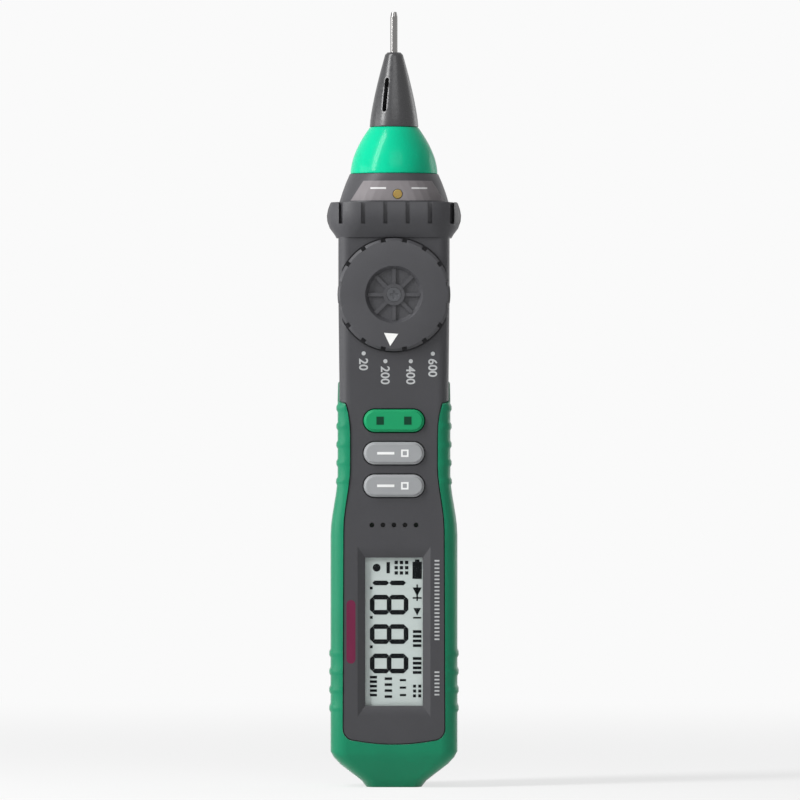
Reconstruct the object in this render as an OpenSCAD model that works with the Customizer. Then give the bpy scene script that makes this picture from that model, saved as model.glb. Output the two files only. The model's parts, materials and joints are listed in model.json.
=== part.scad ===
/* [Lengths along the pen] */
// Height of the flat-ended boss round the input socket
tail_boss_h = 1.7; // [1.6:0.1:4]
// Height of the tail's slope from the boss to the full body width
tail_slope_h = 8; // [5:0.1:10]
// Height of the straight display section
body_h = 57.8; // [56:0.1:66]
// Height over which the body narrows to the grip
waist_h = 16.5; // [14:0.5:20]
// Height of the grip section beside the buttons
grip_h = 22.5; // [20:0.5:30]
// Height of the neck from the jacket's top to the finger guard
neck_h = 40.8; // [38:0.2:50]
// Height of the finger guard
guard_h = 9.4; // [7:0.1:12]
// Height of the cowl above the finger guard
cowl_h = 7.7; // [6:0.1:10]
// Height of the bright nose cone
nose_h = 12.7; // [10:0.1:16]
// Height of the tip sleeve
sleeve_h = 20; // [16:0.5:26]
// Bare length of the needle past the sleeve
needle_out = 10.9; // [4:0.1:16]

/* [Widths and depths] */
// Width of the body at the display
body_w = 34; // [33:0.1:38]
// Width of the body at the buttons, over the jacket
grip_w = 30.2; // [29.4:0.1:32]
// Width of the neck at its foot
neck_w = 29.2; // [28.4:0.1:31]
// Width of the neck under the finger guard
neck_top_w = 29.8; // [29:0.1:31]
// Width of the finger guard
guard_w = 36; // [34:0.5:42]
// Depth of the finger guard
guard_d = 29.2; // [28.6:0.2:34]
// Distance from the pen's axis to the face
face_y = 12; // [11.6:0.1:13]
// Distance from the axis to the back of the display section
body_back = 13; // [12.8:0.1:15]
// Distance from the axis to the back of the grip
grip_back = 12.2; // [12:0.1:13.5]
// Distance from the axis to the back of the neck
neck_back = 11.6; // [11.2:0.1:13]
// Width of the flat tail
tail_w = 14.8; // [14:0.2:18]
// Depth of the flat tail
tail_d = 14.4; // [13.6:0.2:18]
// Width of the top of the tail boss
boss_w = 17.4; // [16.8:0.2:20]
// Depth of the top of the tail boss
boss_d = 16.8; // [16.2:0.2:20]

/* [Shells and jacket] */
// Thickness of the soft jacket
jacket_t = 1.8; // [1.2:0.1:2]
// How far the jacket stands proud of the face
jacket_proud = 0.4; // [0.1:0.1:0.8]
// Thickness of the jacket under the tail
tail_skin = 1.4; // [1:0.1:2]
// Thickness of the face wall
face_wall = 2.2; // [1.8:0.1:2.6]
// Thickness of the side and back walls
side_wall = 1.8; // [1.4:0.1:2]
// Gap between the face panel and the jacket round it
panel_gap = 0.25; // [0.1:0.05:0.5]
// Rise of the jacket's top edge, in millimetres a millimetre of depth
jacket_slope = 0.3; // [0:0.01:0.4]
// Height of a grip rib
rib_h = 0.35; // [0.2:0.05:0.7]
// Width of a grip rib
rib_w = 2.2; // [1.2:0.1:3]
// Spacing of the grip ribs
rib_pitch = 4.9; // [4.2:0.1:5.2]
// Diameter of a sounder hole
sound_hole_d = 1.3; // [0.8:0.1:2]
// Spacing of the sounder holes
sound_hole_pitch = 2.95; // [2.6:0.05:3.4]

/* [Finger guard] */
// Distance from one block of the guard to the next
guard_pitch = 5.95; // [4:0.05:8]
// Depth of the slot between two blocks
guard_slot = 0.9; // [0.4:0.1:1.2]
// Width of the slot between two blocks
guard_slot_w = 1.1; // [0.8:0.1:1.6]

/* [Dial] */
// Diameter of the dial
dial_d = 30.2; // [29:0.1:32]
// How far the dial stands out from the face
dial_proud = 2.5; // [2:0.1:2.6]
// Distance from the guard's underside to the dial's centre
dial_drop = 15.4; // [15.2:0.1:17]
// Number of notches round the dial
dial_notches = 16; // [8:1:24]
// Diameter of the dial's dished centre
dish_d = 14.4; // [13:0.2:18]
// Depth of the dial's dished centre
dish_depth = 1.5; // [0.8:0.1:1.6]
// Diameter of the dial's spindle
spindle_d = 6; // [5.4:0.1:7]
// Angle between two of the dial's positions
dial_step = 20; // [15:1:22]

/* [Buttons] */
// Width of a button
button_w = 16.2; // [14:0.2:17]
// Height of a button along the pen
button_h = 6; // [5:0.1:6.4]
// How far a button stands out from the face
button_proud = 1.1; // [0.6:0.1:1.6]
// Spacing of the buttons
button_pitch = 8.7; // [8.6:0.1:10]
// Clearance round a button
button_gap = 0.3; // [0.15:0.05:0.45]
// Travel of a button
button_travel = 0.8; // [0.4:0.1:0.9]

/* [Display] */
// Width of the visible display
view_w = 15.4; // [12:0.2:15.8]
// Height of the visible display
view_h = 39.6; // [30:0.2:39.8]
// Width of the sloping bezel at the face
bezel_w = 19.5; // [19:0.1:20.5]
// Height of the sloping bezel at the face
bezel_h = 45.5; // [45:0.1:46.5]
// Width of the display glass
glass_w = 17.2; // [16.6:0.1:17.4]
// Height of the display glass
glass_h = 43.2; // [42:0.1:43.4]
// Thickness of the display glass
glass_t = 2.2; // [1.4:0.1:2.4]
// Thickness of the clear window
window_t = 1; // [0.8:0.1:1.2]

/* [Probe] */
// Diameter of the needle
needle_d = 2; // [1.6:0.1:2.4]
// Diameter of the sleeve's tip
sleeve_tip_d = 4.8; // [4.4:0.1:5.6]
// Diameter of the sleeve's foot
sleeve_foot_d = 13.1; // [12.4:0.1:14]
// Diameter of the nose cone's foot
nose_foot_d = 23.4; // [22.4:0.1:24]
// Diameter of the nose cone's top
nose_top_d = 12.8; // [12.2:0.1:13.6]
// Diameter of the insulating stem
stem_d = 6.4; // [5.6:0.1:7]

/* [Input socket] */
// Bore of the socket, for a 4 mm plug
socket_bore_d = 4.06; // [4:0.01:4.1]
// Outside diameter of the socket's metal tube
socket_tube_d = 5.8; // [5.2:0.1:6.2]
// Bore of the plastic shroud
shroud_bore_d = 8.2; // [7.8:0.1:8.6]
// Outside diameter of the plastic shroud
shroud_d = 10.4; // [10:0.1:10.6]
// Length of the socket's metal tube
socket_l = 22; // [20:0.5:22.5]

/* [Batteries and cover] */
// Diameter of a cell
cell_d = 10.5; // [10:0.1:10.6]
// Length of a cell with its button
cell_l = 44.5; // [43:0.1:45]
// Space for a battery spring
spring_l = 2.6; // [2:0.1:3.2]
// Width of the battery cover
cover_w = 22; // [21.8:0.1:23]
// Length of the battery cover
cover_l = 58; // [57:0.5:60]
// Thickness of the battery cover
cover_t = 2.1; // [1.8:0.1:2.4]

/* [Board] */
// Width of the circuit board
board_w = 22; // [21:0.1:22.4]
// Thickness of the circuit board
board_t = 1.6; // [1:0.1:2]

/* [Hidden] */
$fn = 64;

// Overrun of every cut
over = 1;
// Clearance between parts that are fixed together
seat = 0.05;
// Clearance between parts that slide or press
slide = 0.1;
// Radial clearance of a turning shaft
run = 0.06;

// Steps round a quarter of a corner, and along a curved length
arc_n = 8;
curve_n = 6;

// Heights of the joins, from the tail's flat end
z_boss = tail_boss_h;
z_body = z_boss + tail_slope_h;
z_waist = z_body + body_h;
z_grip = z_waist + waist_h;
z_neck = z_grip + grip_h;
z_guard = z_neck + neck_h;
z_cowl = z_guard + guard_h;
z_nose = z_cowl + cowl_h;
z_sleeve = z_nose + nose_h;
z_needle = z_sleeve + sleeve_h;
z_tip = z_needle + needle_out;

// Corner radii of the sections: front and back
body_rf = 4.5;
body_rb = 8;
grip_rf = 3.5;
grip_rb = 6;
neck_rf = 3;
neck_rb = 6;
tail_r = 3;
boss_r = 3.6;

// Front of the jacket, and the heights and widths of the tail's slope as shares
skin_front = face_y + jacket_proud;
tail_z_shares = [0, 0.56, 0.8, 1];
tail_w_shares = [0, 0.69, 0.9, 1];

function mix(a, b, t) = a + (b - a) * t;
function ease(t) = t * t * (3 - 2 * t);

// A section is [height, half width, front, back, front radius, back radius]
tail_section = [0, tail_w / 2, tail_d / 2, tail_d / 2, tail_r, tail_r];
boss_section = [z_boss, boss_w / 2, boss_d / 2, boss_d / 2, boss_r, boss_r];
body_section = [z_body, body_w / 2, skin_front, body_back, body_rf, body_rb];
grip_section = [z_grip, grip_w / 2, skin_front, grip_back, grip_rf, grip_rb];
neck_section = [z_neck, neck_w / 2, face_y, neck_back, neck_rf, neck_rb];
neck_end_section = [z_guard, neck_top_w / 2, face_y, neck_back, neck_rf, neck_rb];

function at_z(s, z) = [z, s[1], s[2], s[3], s[4], s[5]];
function blend(a, b, t_z, t) = [mix(a[0], b[0], t_z), for (i = [1:5]) mix(a[i], b[i], t)];
function wider(s, d) = [s[0], s[1] + d, s[2], s[3], s[4], s[5]];
function inset(s, t) = [s[0], s[1] - t, s[2] - t, s[3] - t, s[4] - t, s[5] - t];

// Skin of the lower half, over the jacket
slope_sections = [for (i = [0:3]) blend(boss_section, body_section, tail_z_shares[i], tail_w_shares[i])];
waist_sections = [for (i = [0:curve_n])
    blend(at_z(body_section, z_waist), grip_section, i / curve_n, ease(i / curve_n))];
jacket_end = z_neck + skin_front;
body_sections = concat([tail_section], slope_sections, waist_sections, [at_z(grip_section, jacket_end)]);

// Section of the skin at any height of the straight, waist and grip stretches
function waist_t(z) = min(1, max(0, (z - z_waist) / waist_h));
function skin_at(z) = at_z(blend(body_section, grip_section, 0, ease(waist_t(z))), z);

// Grip ribs: five beside the buttons and four beside the display's foot
upper_ribs = 5;
lower_ribs = 4;
upper_rib_z = z_neck - rib_pitch;
lower_rib_rise = 11.5;
lower_rib_z = z_body + lower_rib_rise;
rib_heights = concat([for (i = [0:lower_ribs - 1]) lower_rib_z + i * rib_pitch],
    [for (i = [upper_ribs - 1:-1:0]) upper_rib_z - i * rib_pitch]);
rib_z_shares = [-0.5, -0.2, 0.2, 0.5];
rib_h_shares = [0, 1, 1, 0];
function rib_sections(z) = [for (i = [0:3]) wider(skin_at(z + rib_w * rib_z_shares[i]), rib_h * rib_h_shares[i])];
function below(list, z) = [for (s = list) if (s[0] < z) s];
function above(list, z) = [for (s = list) if (s[0] > z) s];

// Places across the depth, from the face to the back
wall_in = face_y - face_wall;
pocket_depth = 0.8;
bezel_depth = 1.1;
board_room = 1;
cavity_w = board_w + board_room;
grip_cavity_back = 8;
body_cavity_back = 9.3;
board_back = 3.8;
board_front = board_back + board_t;

// Opening of the face panel in the jacket
panel_low_w = 13.3;
panel_foot_w = 13.5;
panel_mid_w = 11.5;
panel_foot_rise = 2.1;
panel_foot_z = z_body + panel_foot_rise;
panel_foot_r = 3;
panel_bow = 1;
panel_low_rise = 1.5;
panel_low_z = z_waist + panel_low_rise;
panel_mid_rise = 18.5;
panel_mid_z = z_waist + panel_mid_rise;
panel_horn_drop = 14.5;
panel_horn_z = z_neck - panel_horn_drop;
panel_open_rise = 1.5;
panel_open_z = z_neck + panel_open_rise;
panel_horn_power = 3;

// Dial
dial_z = z_guard - dial_drop;
dial_r = dial_d / 2;
dial_front = face_y + dial_proud;
dial_gap = 0.35;
dial_seat = face_y - pocket_depth + slide;
dial_edge = 0.7;
dial_crown = 0.5;
notch_w = 1.3;
notch_d = 0.9;
dish_wall = 0.5;
hub_r = 2.9;
hub_h = 0.9;
spoke_w = 1;
spoke_h = 0.6;
spokes = 8;
screw_r = 1.1;
screw_head_r = 1.9;
screw_head_h = 0.8;
spindle_r = spindle_d / 2;
rotor_gap = 0.4;
rotor_front = wall_in - rotor_gap;
rotor_t = 2.2;
rotor_r = 9.4;
rotor_hub_r = 3.6;
rotor_hub_t = 1;
detent_r = 7;
ball_r = 0.9;
ball_gap = 0.08;
ball_cup_r = 1.6;
ball_cup_t = 1.1;
wiper_w = 2.4;
wiper_t = 0.3;
wiper_gap = 0.12;
screw_slot_w = 0.5;

// Display
bezel_foot = 9.3;
bezel_z = z_body + bezel_foot + bezel_h / 2;
window_front = face_y - bezel_depth;
window_lip = 0.9;
glass_front = wall_in - slide;
frame_lip = 1.4;
frame_back = board_front + slide;
zebra_w = 1.6;

// Sounder
sound_holes = 5;
sounder_r = 5.4;
sound_room = 0.15;
sound_z = bezel_z + glass_h / 2 + frame_lip + sounder_r + sound_room;
sounder_t = 3;

// Buttons
flange_lip = 0.7;
key_room = 1.4;
button_foot_z = sound_z + sounder_r + key_room + flange_lip + button_h / 2;
button_z = [for (i = [2:-1:0]) button_foot_z + i * button_pitch];
flange_t = 0.8;
button_edge = 0.5;
dome_h = 0.9;
sheet_t = 1;
dome_r = 2;
button_back = board_front + sheet_t + dome_h + button_travel + slide;

// Socket in the tail
shroud_r = shroud_d / 2;
shroud_base_t = 3;
socket_lip = 0.4;
tube_foot = 3;
solder_r = 1.2;
solder_l = 1.6;
lead_w = 2;
lead_t = 0.4;

// Board and its pieces
board_z0 = socket_l + solder_l;
board_head_room = 2;
board_z1 = z_guard - board_head_room;
chip_w = 11;
chip_t = 1.4;
fuse_r = 2.5;
fuse_l = 20;
fuse_cap_l = 5;
fuse_rise = 12;
fuse_z = z_neck + fuse_rise;
clip_w = 3.6;
clip_t = 0.5;
part_w = 2.6;
part_t = 1.6;
part_pitch = 6;
part_room = 1;

// Battery bay
tray_wall = 0.8;
tray_gap = 0.2;
tray_rise = 2.4;
tray_z0 = socket_l + tray_rise;
cell_r = cell_d / 2;
cell_x = cell_r + tray_gap / 2 + slide;
contact_t = 0.4;
cell_z0 = tray_z0 + tray_wall + contact_t + slide;
tray_z1 = cell_z0 + cell_l + spring_l + contact_t + tray_wall + slide;
tray_board_gap = 0.4;
tray_floor = board_back - tray_board_gap;
cell_y = cell_r + tray_wall + slide - tray_floor;
tray_side = 0.45;
tray_half_w = cell_x + cell_r + slide + tray_side;
tray_back = 8.8;
nipple_r = 2.6;
nipple_h = 1;
spring_r = 3.4;
wire_r = 0.4;

// Battery cover
cover_ledge = 3;
cover_z0 = tray_z0 - cover_ledge;
cover_z1 = cover_z0 + cover_l;
cover_gap = 0.25;
cover_in = body_back - cover_t;
lip_in = 1.3;
lip_wall = 1;
cover_screw_r = 1.2;
cover_screw_z = (cover_z1 + tray_z1) / 2;
cover_head_r = 2.1;
cover_head_h = 0.9;
cover_head_floor = 0.5;
cover_screw_l = 6;
cover_boss_w = 7;

// Case screws
case_r = 1.1;
case_head_r = 2;
case_head_h = 1.6;
case_boss_r = 2.6;
case_top_drop = 5.4;
case_top_z = z_guard - case_top_drop;
case_top_x = 8.5;
case_low_rise = 6;
case_low_z = z_body + case_low_rise;
case_low_x = 9.4;
case_sink = 3;
case_l = 13;

// Head and probe
spigot_r = 10.8;
spigot_bore_r = 7.5;
spigot_h = 13.6;
spigot_z = z_guard + spigot_h;
guard_foot_w = 30.4;
guard_foot_d = 24.8;
cowl_foot_w = 29.4;
cowl_foot_d = 26;
cowl_top_r = 11.9;
cowl_bore_r = 8.7;
holder_flange_r = 8.5;
holder_flange_t = 1.8;
holder_foot_r = 4;
holder_foot_l = 6;
stem_r = stem_d / 2;
stem_out = 11;
stem_z = z_sleeve + stem_out;
needle_r = needle_d / 2;
needle_step = 0.25;
shank_r = needle_r + needle_step;
needle_tip_r = 0.7;
needle_tip_l = 1.4;
ferrule_r = 2.2;
ferrule_l = 5;
ferrule_drop = 4;
ferrule_z = z_cowl - ferrule_drop;
holder_z = ferrule_z + ferrule_l;
nose_wall = 1.6;
sleeve_wall = 1.3;
sleeve_slot_w = 1.2;
sleeve_slot_l = 8;
sleeve_slot_rise = 4.5;
sleeve_slot_z = z_sleeve + sleeve_slot_rise;
sleeve_slot_angle = -26;
lens_r = 1.25;
lens_x = 1;
lens_rise = 2.1;
lens_z = z_cowl + lens_rise;
lens_l = 2.6;
led_r = 1;
leg_w = 0.5;

// Guard and cowl: heights and widths between foot and full width as shares
guard_z_shares = [0, 0.11, 0.28, 0.46, 0.63, 0.8, 0.97, 1];
guard_w_shares = [0.1, 0.32, 0.75, 0.96, 1, 0.89, 0.68, 0.6];
cowl_w_shares = [0, 0.28, 0.61, 1];
guard_foot_r = 4.5;
guard_r = 10;
guard_slot_foot = 3.6;
guard_front_slots = [-2:3];
guard_side_slots = [-1:1];
guard_slot_x = -2.3;
cowl_foot_r = 10.5;
nose_power = 1.8;
nose_foot_wall = 2.4;
sleeve_power = 1.35;
sleeve_edge = 0.6;
lens_proud = 0.15;
lens_front = mix(cowl_foot_d / 2, cowl_top_r, (lens_z - z_cowl) / cowl_h) + lens_proud;
lens_back = spigot_r - 1.4 * led_r;
contact_w = 3;
contact_lap = 4;

// Points of an arc, an outline of four round corners, and a solid through a list of sections
function arc(cx, cy, r, a) = [for (i = [0:arc_n]) [cx + r * cos(a + 90 * i / arc_n), cy + r * sin(a + 90 * i / arc_n)]];
function outline(s) = concat(
    arc(s[1] - s[4], s[4] - s[2], s[4], -90),
    arc(s[1] - s[5], s[3] - s[5], s[5], 0),
    arc(s[5] - s[1], s[3] - s[5], s[5], 90),
    arc(s[4] - s[1], s[4] - s[2], s[4], 180));
module loft(sections) {
    n = 4 * (arc_n + 1);
    last = len(sections) - 1;
    points = [for (s = sections) each [for (p = outline(s)) [p[0], p[1], s[0]]]];
    sides = [for (i = [0:last - 1]) each [for (j = [0:n - 1]) each
        let (k = (j + 1) % n, a = i * n, b = (i + 1) * n)
            [[a + j, b + j, b + k], [a + j, b + k, a + k]]]];
    polyhedron(points, concat([[for (j = [0:n - 1]) j], [for (j = [n - 1:-1:0]) last * n + j]], sides));
}

// Anything drawn in the plane of the face, from one depth to another
module on_face(front, back) {
    translate([0, -back, 0]) rotate([90, 0, 0]) linear_extrude(front - back) children();
}
module face_pin(r, x, z, front, back) {
    on_face(front, back) translate([x, z]) circle(r);
}
module face_block(w, z0, z1, front, back, x = 0) {
    translate([x - w / 2, -front, z0]) cube([w, front - back, z1 - z0]);
}
module pill(w, h) {
    square([w - h, h], center = true);
    for (x = [-1, 1]) translate([x * (w - h) / 2, 0]) circle(h / 2);
}
module bevelled_hole(w, h, z, deep, in_w, in_h) {
    grow = over / deep;
    gx = (w - in_w) / 2 * grow;
    gz = (h - in_h) / 2 * grow;
    corners = [[-1, -1], [1, -1], [1, 1], [-1, 1]];
    out = [for (c = corners) [c[0] * (w / 2 + gx), -face_y - over, z + c[1] * (h / 2 + gz)]];
    inn = [for (c = corners) [c[0] * in_w / 2, deep - face_y, z + c[1] * in_h / 2]];
    polyhedron(concat(out, inn), [[3, 2, 1, 0], [4, 5, 6, 7], [0, 1, 5, 4], [1, 2, 6, 5], [2, 3, 7, 6], [3, 0, 4, 7]]);
}

// Outline of the face panel
panel_foot_x = panel_foot_w - panel_foot_r;
function panel_foot_at(t) = [t * panel_foot_x, panel_foot_z + panel_bow * t * t];
panel_right = concat(
    [for (i = [0:curve_n]) panel_foot_at(i / curve_n)],
    [for (i = [1:arc_n]) [panel_foot_x, panel_foot_z + panel_bow + panel_foot_r]
        + panel_foot_r * [sin(90 * i / arc_n), -cos(90 * i / arc_n)]],
    [for (i = [0:curve_n]) [mix(panel_low_w, panel_mid_w, ease(i / curve_n)),
        mix(panel_low_z, panel_mid_z, i / curve_n)]],
    [for (i = [0:curve_n]) [mix(panel_mid_w, neck_w / 2 + over, pow(i / curve_n, panel_horn_power)),
        mix(panel_horn_z, panel_open_z, i / curve_n)]]);
module panel_outline() {
    n = len(panel_right) - 1;
    polygon(concat(panel_right, [for (i = [n:-1:1]) [-panel_right[i][0], panel_right[i][1]]]));
}

// Everything below the jacket's sloping top edge, lowered by a gap
module under_edge(gap) {
    size = 4 * body_w;
    translate([0, 0, z_neck - gap]) rotate([atan(jacket_slope), 0, 0])
        translate([-size / 2, -size / 2, -2 * size]) cube([size, size, 2 * size]);
}

// Sections of the shells where the jacket covers them
function core_sections(t, z0) = concat([at_z(inset(boss_section, t), z0)],
    [for (s = above(body_sections, tail_skin)) inset(s, t)]);

// Outer form of the two shells together
module housing() {
    loft(core_sections(jacket_t, tail_skin));
    intersection() {
        on_face(face_y, wall_in) panel_outline();
        face_block(2 * neck_w, 0, panel_horn_z, face_y, wall_in);
    }
    difference() {
        loft([at_z(neck_section, panel_mid_z), neck_section, at_z(neck_end_section, dial_z), neck_end_section]);
        difference() {
            under_edge(0);
            on_face(face_y + over, 0) panel_outline();
        }
    }
    translate([0, 0, z_guard - over]) cylinder(r = spigot_r, h = spigot_h + over);
}

// Room inside the shells
module hollow() {
    face_block(cavity_w, socket_l, z_guard - side_wall, wall_in, -grip_cavity_back);
    face_block(glass_w + 2 * frame_lip + 2 * slide, bezel_z - glass_h / 2 - frame_lip - slide,
        bezel_z + glass_h / 2 + frame_lip + slide, wall_in, board_front - slide);
    translate([0, 0, z_neck]) cylinder(r = spigot_bore_r, h = neck_h + spigot_h + over);
    face_block(2 * tray_half_w + 2 * slide, tray_z0 - slide, tray_z1 + slide, 0, -body_cavity_back);
    face_block(2 * (cell_x + cell_r + slide), tray_z0 - slide, tray_z1 + slide, 0, -body_back - over);
    translate([0, 0, -over]) cylinder(r = shroud_r + seat, h = socket_l + 2 * over);
    battery_cover_space(cover_gap, cover_in - slide);
    face_pin(lens_r + seat, lens_x, lens_z, 2 * face_y, 0);
}
module battery_cover_space(gap, inner) {
    face_block(cover_w + 2 * gap, cover_z0 - gap, cover_z1 + gap, -inner, -body_back - 2 * over);
}

module front_shell() {
    color("#4a4a4c") difference() {
        union() {
            intersection() {
                difference() {
                    housing();
                    hollow();
                }
                face_block(2 * body_w, 0, z_tip, 2 * face_y, 0);
            }
            for (x = [-1, 1]) face_pin(case_boss_r, x * case_top_x, case_top_z, face_y - over, 0);
        }
        face_pin(dial_r + dial_gap, 0, dial_z, face_y + over, face_y - pocket_depth);
        face_pin(spindle_r + run, 0, dial_z, face_y + over, wall_in - over);
        for (z = button_z) translate([0, 0, z]) on_face(face_y + over, wall_in - over)
            pill(button_w + 2 * button_gap, button_h + 2 * button_gap);
        bevelled_hole(bezel_w, bezel_h, bezel_z, bezel_depth, view_w, view_h);
        on_face(window_front, wall_in - over) translate([0, bezel_z])
            square([view_w + 2 * window_lip + 2 * seat, view_h + 2 * window_lip + 2 * seat], center = true);
        for (i = [0:sound_holes - 1])
            face_pin(sound_hole_d / 2, (i - (sound_holes - 1) / 2) * sound_hole_pitch, sound_z,
                face_y + over, wall_in - over);
        for (x = [-1, 1]) {
            face_pin(case_r, x * case_top_x, case_top_z, wall_in, -over);
            face_pin(case_r, x * case_low_x, case_low_z, wall_in, -over);
        }
    }
}

module rear_shell() {
    color("#444447") difference() {
        union() {
            intersection() {
                difference() {
                    housing();
                    hollow();
                }
                face_block(2 * body_w, 0, z_tip, -seat, -2 * body_back);
            }
            for (x = [-1, 1])
                face_pin(case_boss_r, x * case_top_x, case_top_z, -seat, -neck_back + side_wall - over);
            face_block(cover_boss_w, tray_z1 + slide, cover_z1 + over, slide - cell_y, -grip_cavity_back - over);
        }
        face_pin(cover_screw_r + slide, 0, cover_screw_z, -seat, -body_back);
        for (x = [-1, 1]) {
            face_pin(case_r + slide, x * case_top_x, case_top_z, over, -body_back - over);
            face_pin(case_r + slide, x * case_low_x, case_low_z, over, -body_back - over);
            face_pin(case_head_r + slide, x * case_top_x, case_top_z, case_sink - neck_back, -body_back - over);
            face_pin(case_head_r + slide, x * case_low_x, case_low_z,
                case_sink + jacket_t - body_back, -body_back - over);
        }
    }
}

module grip_jacket() {
    color("#158060") difference() {
        intersection() {
            loft(concat(below(body_sections, z_body + tail_skin),
                [for (z = rib_heights) if (z < z_waist) each rib_sections(z)],
                [for (s = waist_sections) if (s[0] < rib_heights[lower_ribs] - rib_w) s],
                [for (z = rib_heights) if (z > z_waist) each rib_sections(z)],
                [at_z(grip_section, jacket_end)]));
            under_edge(panel_gap);
        }
        loft(core_sections(jacket_t - seat, tail_skin - seat));
        on_face(face_y + 2 * over, 0) offset(delta = panel_gap) panel_outline();
        battery_cover_space(cover_gap, 0);
        translate([0, 0, -over]) cylinder(r = shroud_r + seat, h = socket_l);
    }
}

// Sections of the guard's oval, drawn in by a depth
function guard_sections(t) =
    let (foot = [z_guard, guard_foot_w / 2, guard_foot_d / 2, guard_foot_d / 2, guard_foot_r, guard_foot_r],
        full = [z_cowl, guard_w / 2, guard_d / 2, guard_d / 2, guard_r, guard_r])
    [for (i = [0:len(guard_z_shares) - 1]) inset(blend(foot, full, guard_z_shares[i], guard_w_shares[i]), t)];
module finger_guard() {
    slot_z = z_guard + guard_slot_foot;
    color("#48484b") difference() {
        loft(guard_sections(0));
        translate([0, 0, z_guard - over]) cylinder(r = spigot_r + seat, h = guard_h + 2 * over);
        difference() {
            union() {
                for (i = guard_front_slots)
                    translate([guard_slot_x + i * guard_pitch - guard_slot_w / 2, -guard_w, slot_z])
                        cube([guard_slot_w, 2 * guard_w, guard_h]);
                for (i = guard_side_slots)
                    translate([-guard_w, i * guard_pitch - guard_slot_w / 2, slot_z])
                        cube([2 * guard_w, guard_slot_w, guard_h]);
            }
            loft(guard_sections(guard_slot));
        }
    }
}

module head_cowl() {
    foot = [z_cowl, cowl_foot_w / 2, cowl_foot_d / 2, cowl_foot_d / 2, cowl_foot_r, cowl_foot_r];
    top = [z_nose, cowl_top_r, cowl_top_r, cowl_top_r, cowl_top_r, cowl_top_r];
    color("#77767a") difference() {
        loft([for (i = [0:len(cowl_w_shares) - 1])
            blend(foot, top, i / (len(cowl_w_shares) - 1), cowl_w_shares[i])]);
        translate([0, 0, z_cowl - over]) cylinder(r = spigot_r + seat, h = spigot_z + seat - z_cowl + over);
        translate([0, 0, z_cowl]) cylinder(r = cowl_bore_r, h = cowl_h + over);
        face_pin(lens_r + seat, lens_x, lens_z, guard_w, 0);
    }
}

module nose_cone() {
    skirt_z = spigot_z + holder_flange_t + 2 * seat;
    profile = [for (i = [0:2 * curve_n]) let (t = i / (2 * curve_n))
        [mix(nose_foot_d, nose_top_d, pow(t, nose_power)) / 2, z_nose + seat + t * (nose_h - seat)]];
    color("#12c890") difference() {
        rotate_extrude() polygon(concat([[0, skirt_z], [holder_flange_r, skirt_z], [holder_flange_r, z_nose + seat]],
            profile, [[0, z_sleeve]]));
        rotate_extrude() polygon(concat([[0, skirt_z - over], [nose_foot_d / 2 - nose_foot_wall, skirt_z - over]],
            [for (p = profile) if (p[1] < z_sleeve - 2 * nose_wall) [p[0] - nose_foot_wall, p[1]]],
            [[0, z_sleeve - 2 * nose_wall]]));
        translate([0, 0, z_nose]) cylinder(r = stem_r + seat, h = nose_h + over);
    }
}

module probe_holder() {
    color("#2e2e30") difference() {
        union() {
            translate([0, 0, spigot_z + seat]) cylinder(r = holder_flange_r - seat, h = holder_flange_t);
            translate([0, 0, spigot_z]) cylinder(r = stem_r, h = stem_z - spigot_z);
            translate([0, 0, holder_z]) cylinder(r = holder_foot_r, h = spigot_z + holder_flange_t - holder_z);
        }
        translate([0, 0, holder_z - over]) cylinder(r = shank_r + seat / 2, h = stem_z);
    }
}

module probe_needle() {
    foot = ferrule_z - needle_tip_l;
    color("#d8d8da") {
        translate([0, 0, foot]) cylinder(r = shank_r, h = z_needle - foot);
        translate([0, 0, z_needle - over]) cylinder(r = needle_r, h = needle_out - needle_tip_l + over);
        translate([0, 0, z_tip - needle_tip_l]) cylinder(r1 = needle_r, r2 = needle_tip_r, h = needle_tip_l);
    }
}

module probe_ferrule() {
    color("#c9a24a") translate([0, 0, ferrule_z]) difference() {
        cylinder(r = ferrule_r, h = ferrule_l - seat);
        translate([0, 0, -over]) cylinder(r = shank_r + seat / 2, h = ferrule_l + 2 * over);
    }
}

module probe_contact() {
    bend_z = board_z1 + contact_t;
    color("#d0b070") {
        face_block(contact_w, board_z1 - contact_lap, bend_z, board_back, board_back - contact_t);
        face_block(contact_w, bend_z - contact_t, bend_z, board_back, ferrule_r);
        face_block(contact_w, bend_z - contact_t, ferrule_z + ferrule_l / 2, ferrule_r + contact_t, ferrule_r);
    }
}

module probe_sleeve() {
    profile = [for (i = [0:2 * curve_n]) let (t = i / (2 * curve_n))
        [mix(sleeve_foot_d, sleeve_tip_d, pow(t, sleeve_power)) / 2, z_sleeve + seat + t * (sleeve_h - sleeve_edge - seat)]];
    color("#3c3c3e") difference() {
        rotate_extrude() polygon(concat([[0, z_sleeve + seat]], profile,
            [[sleeve_tip_d / 2 - sleeve_edge, z_needle], [0, z_needle]]));
        translate([0, 0, z_sleeve - over]) cylinder(r = stem_r + slide, h = stem_z + slide - z_sleeve + over);
        translate([0, 0, z_sleeve]) cylinder(r = shank_r + slide, h = sleeve_h + over);
        rotate([0, 0, sleeve_slot_angle]) translate([0, 0, sleeve_slot_z]) {
            rotate([90, 0, 0]) linear_extrude(sleeve_foot_d) {
                translate([-sleeve_slot_w / 2, 0]) square([sleeve_slot_w, sleeve_slot_l]);
                for (z = [0, sleeve_slot_l]) translate([0, z]) circle(sleeve_slot_w / 2);
            }
        }
    }
}

module indicator_lens() {
    color("#c8a13a") face_pin(lens_r, lens_x, lens_z, lens_front, lens_back);
}
module indicator_led() {
    led_back = board_front + leg_w;
    color("#e8e4da") {
        face_pin(led_r, lens_x, lens_z, lens_back - seat, led_back);
        for (x = [-1, 1])
            face_block(leg_w, board_z1 - contact_lap, lens_z, led_back, board_front, lens_x + x * led_r / 2);
    }
}

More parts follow.
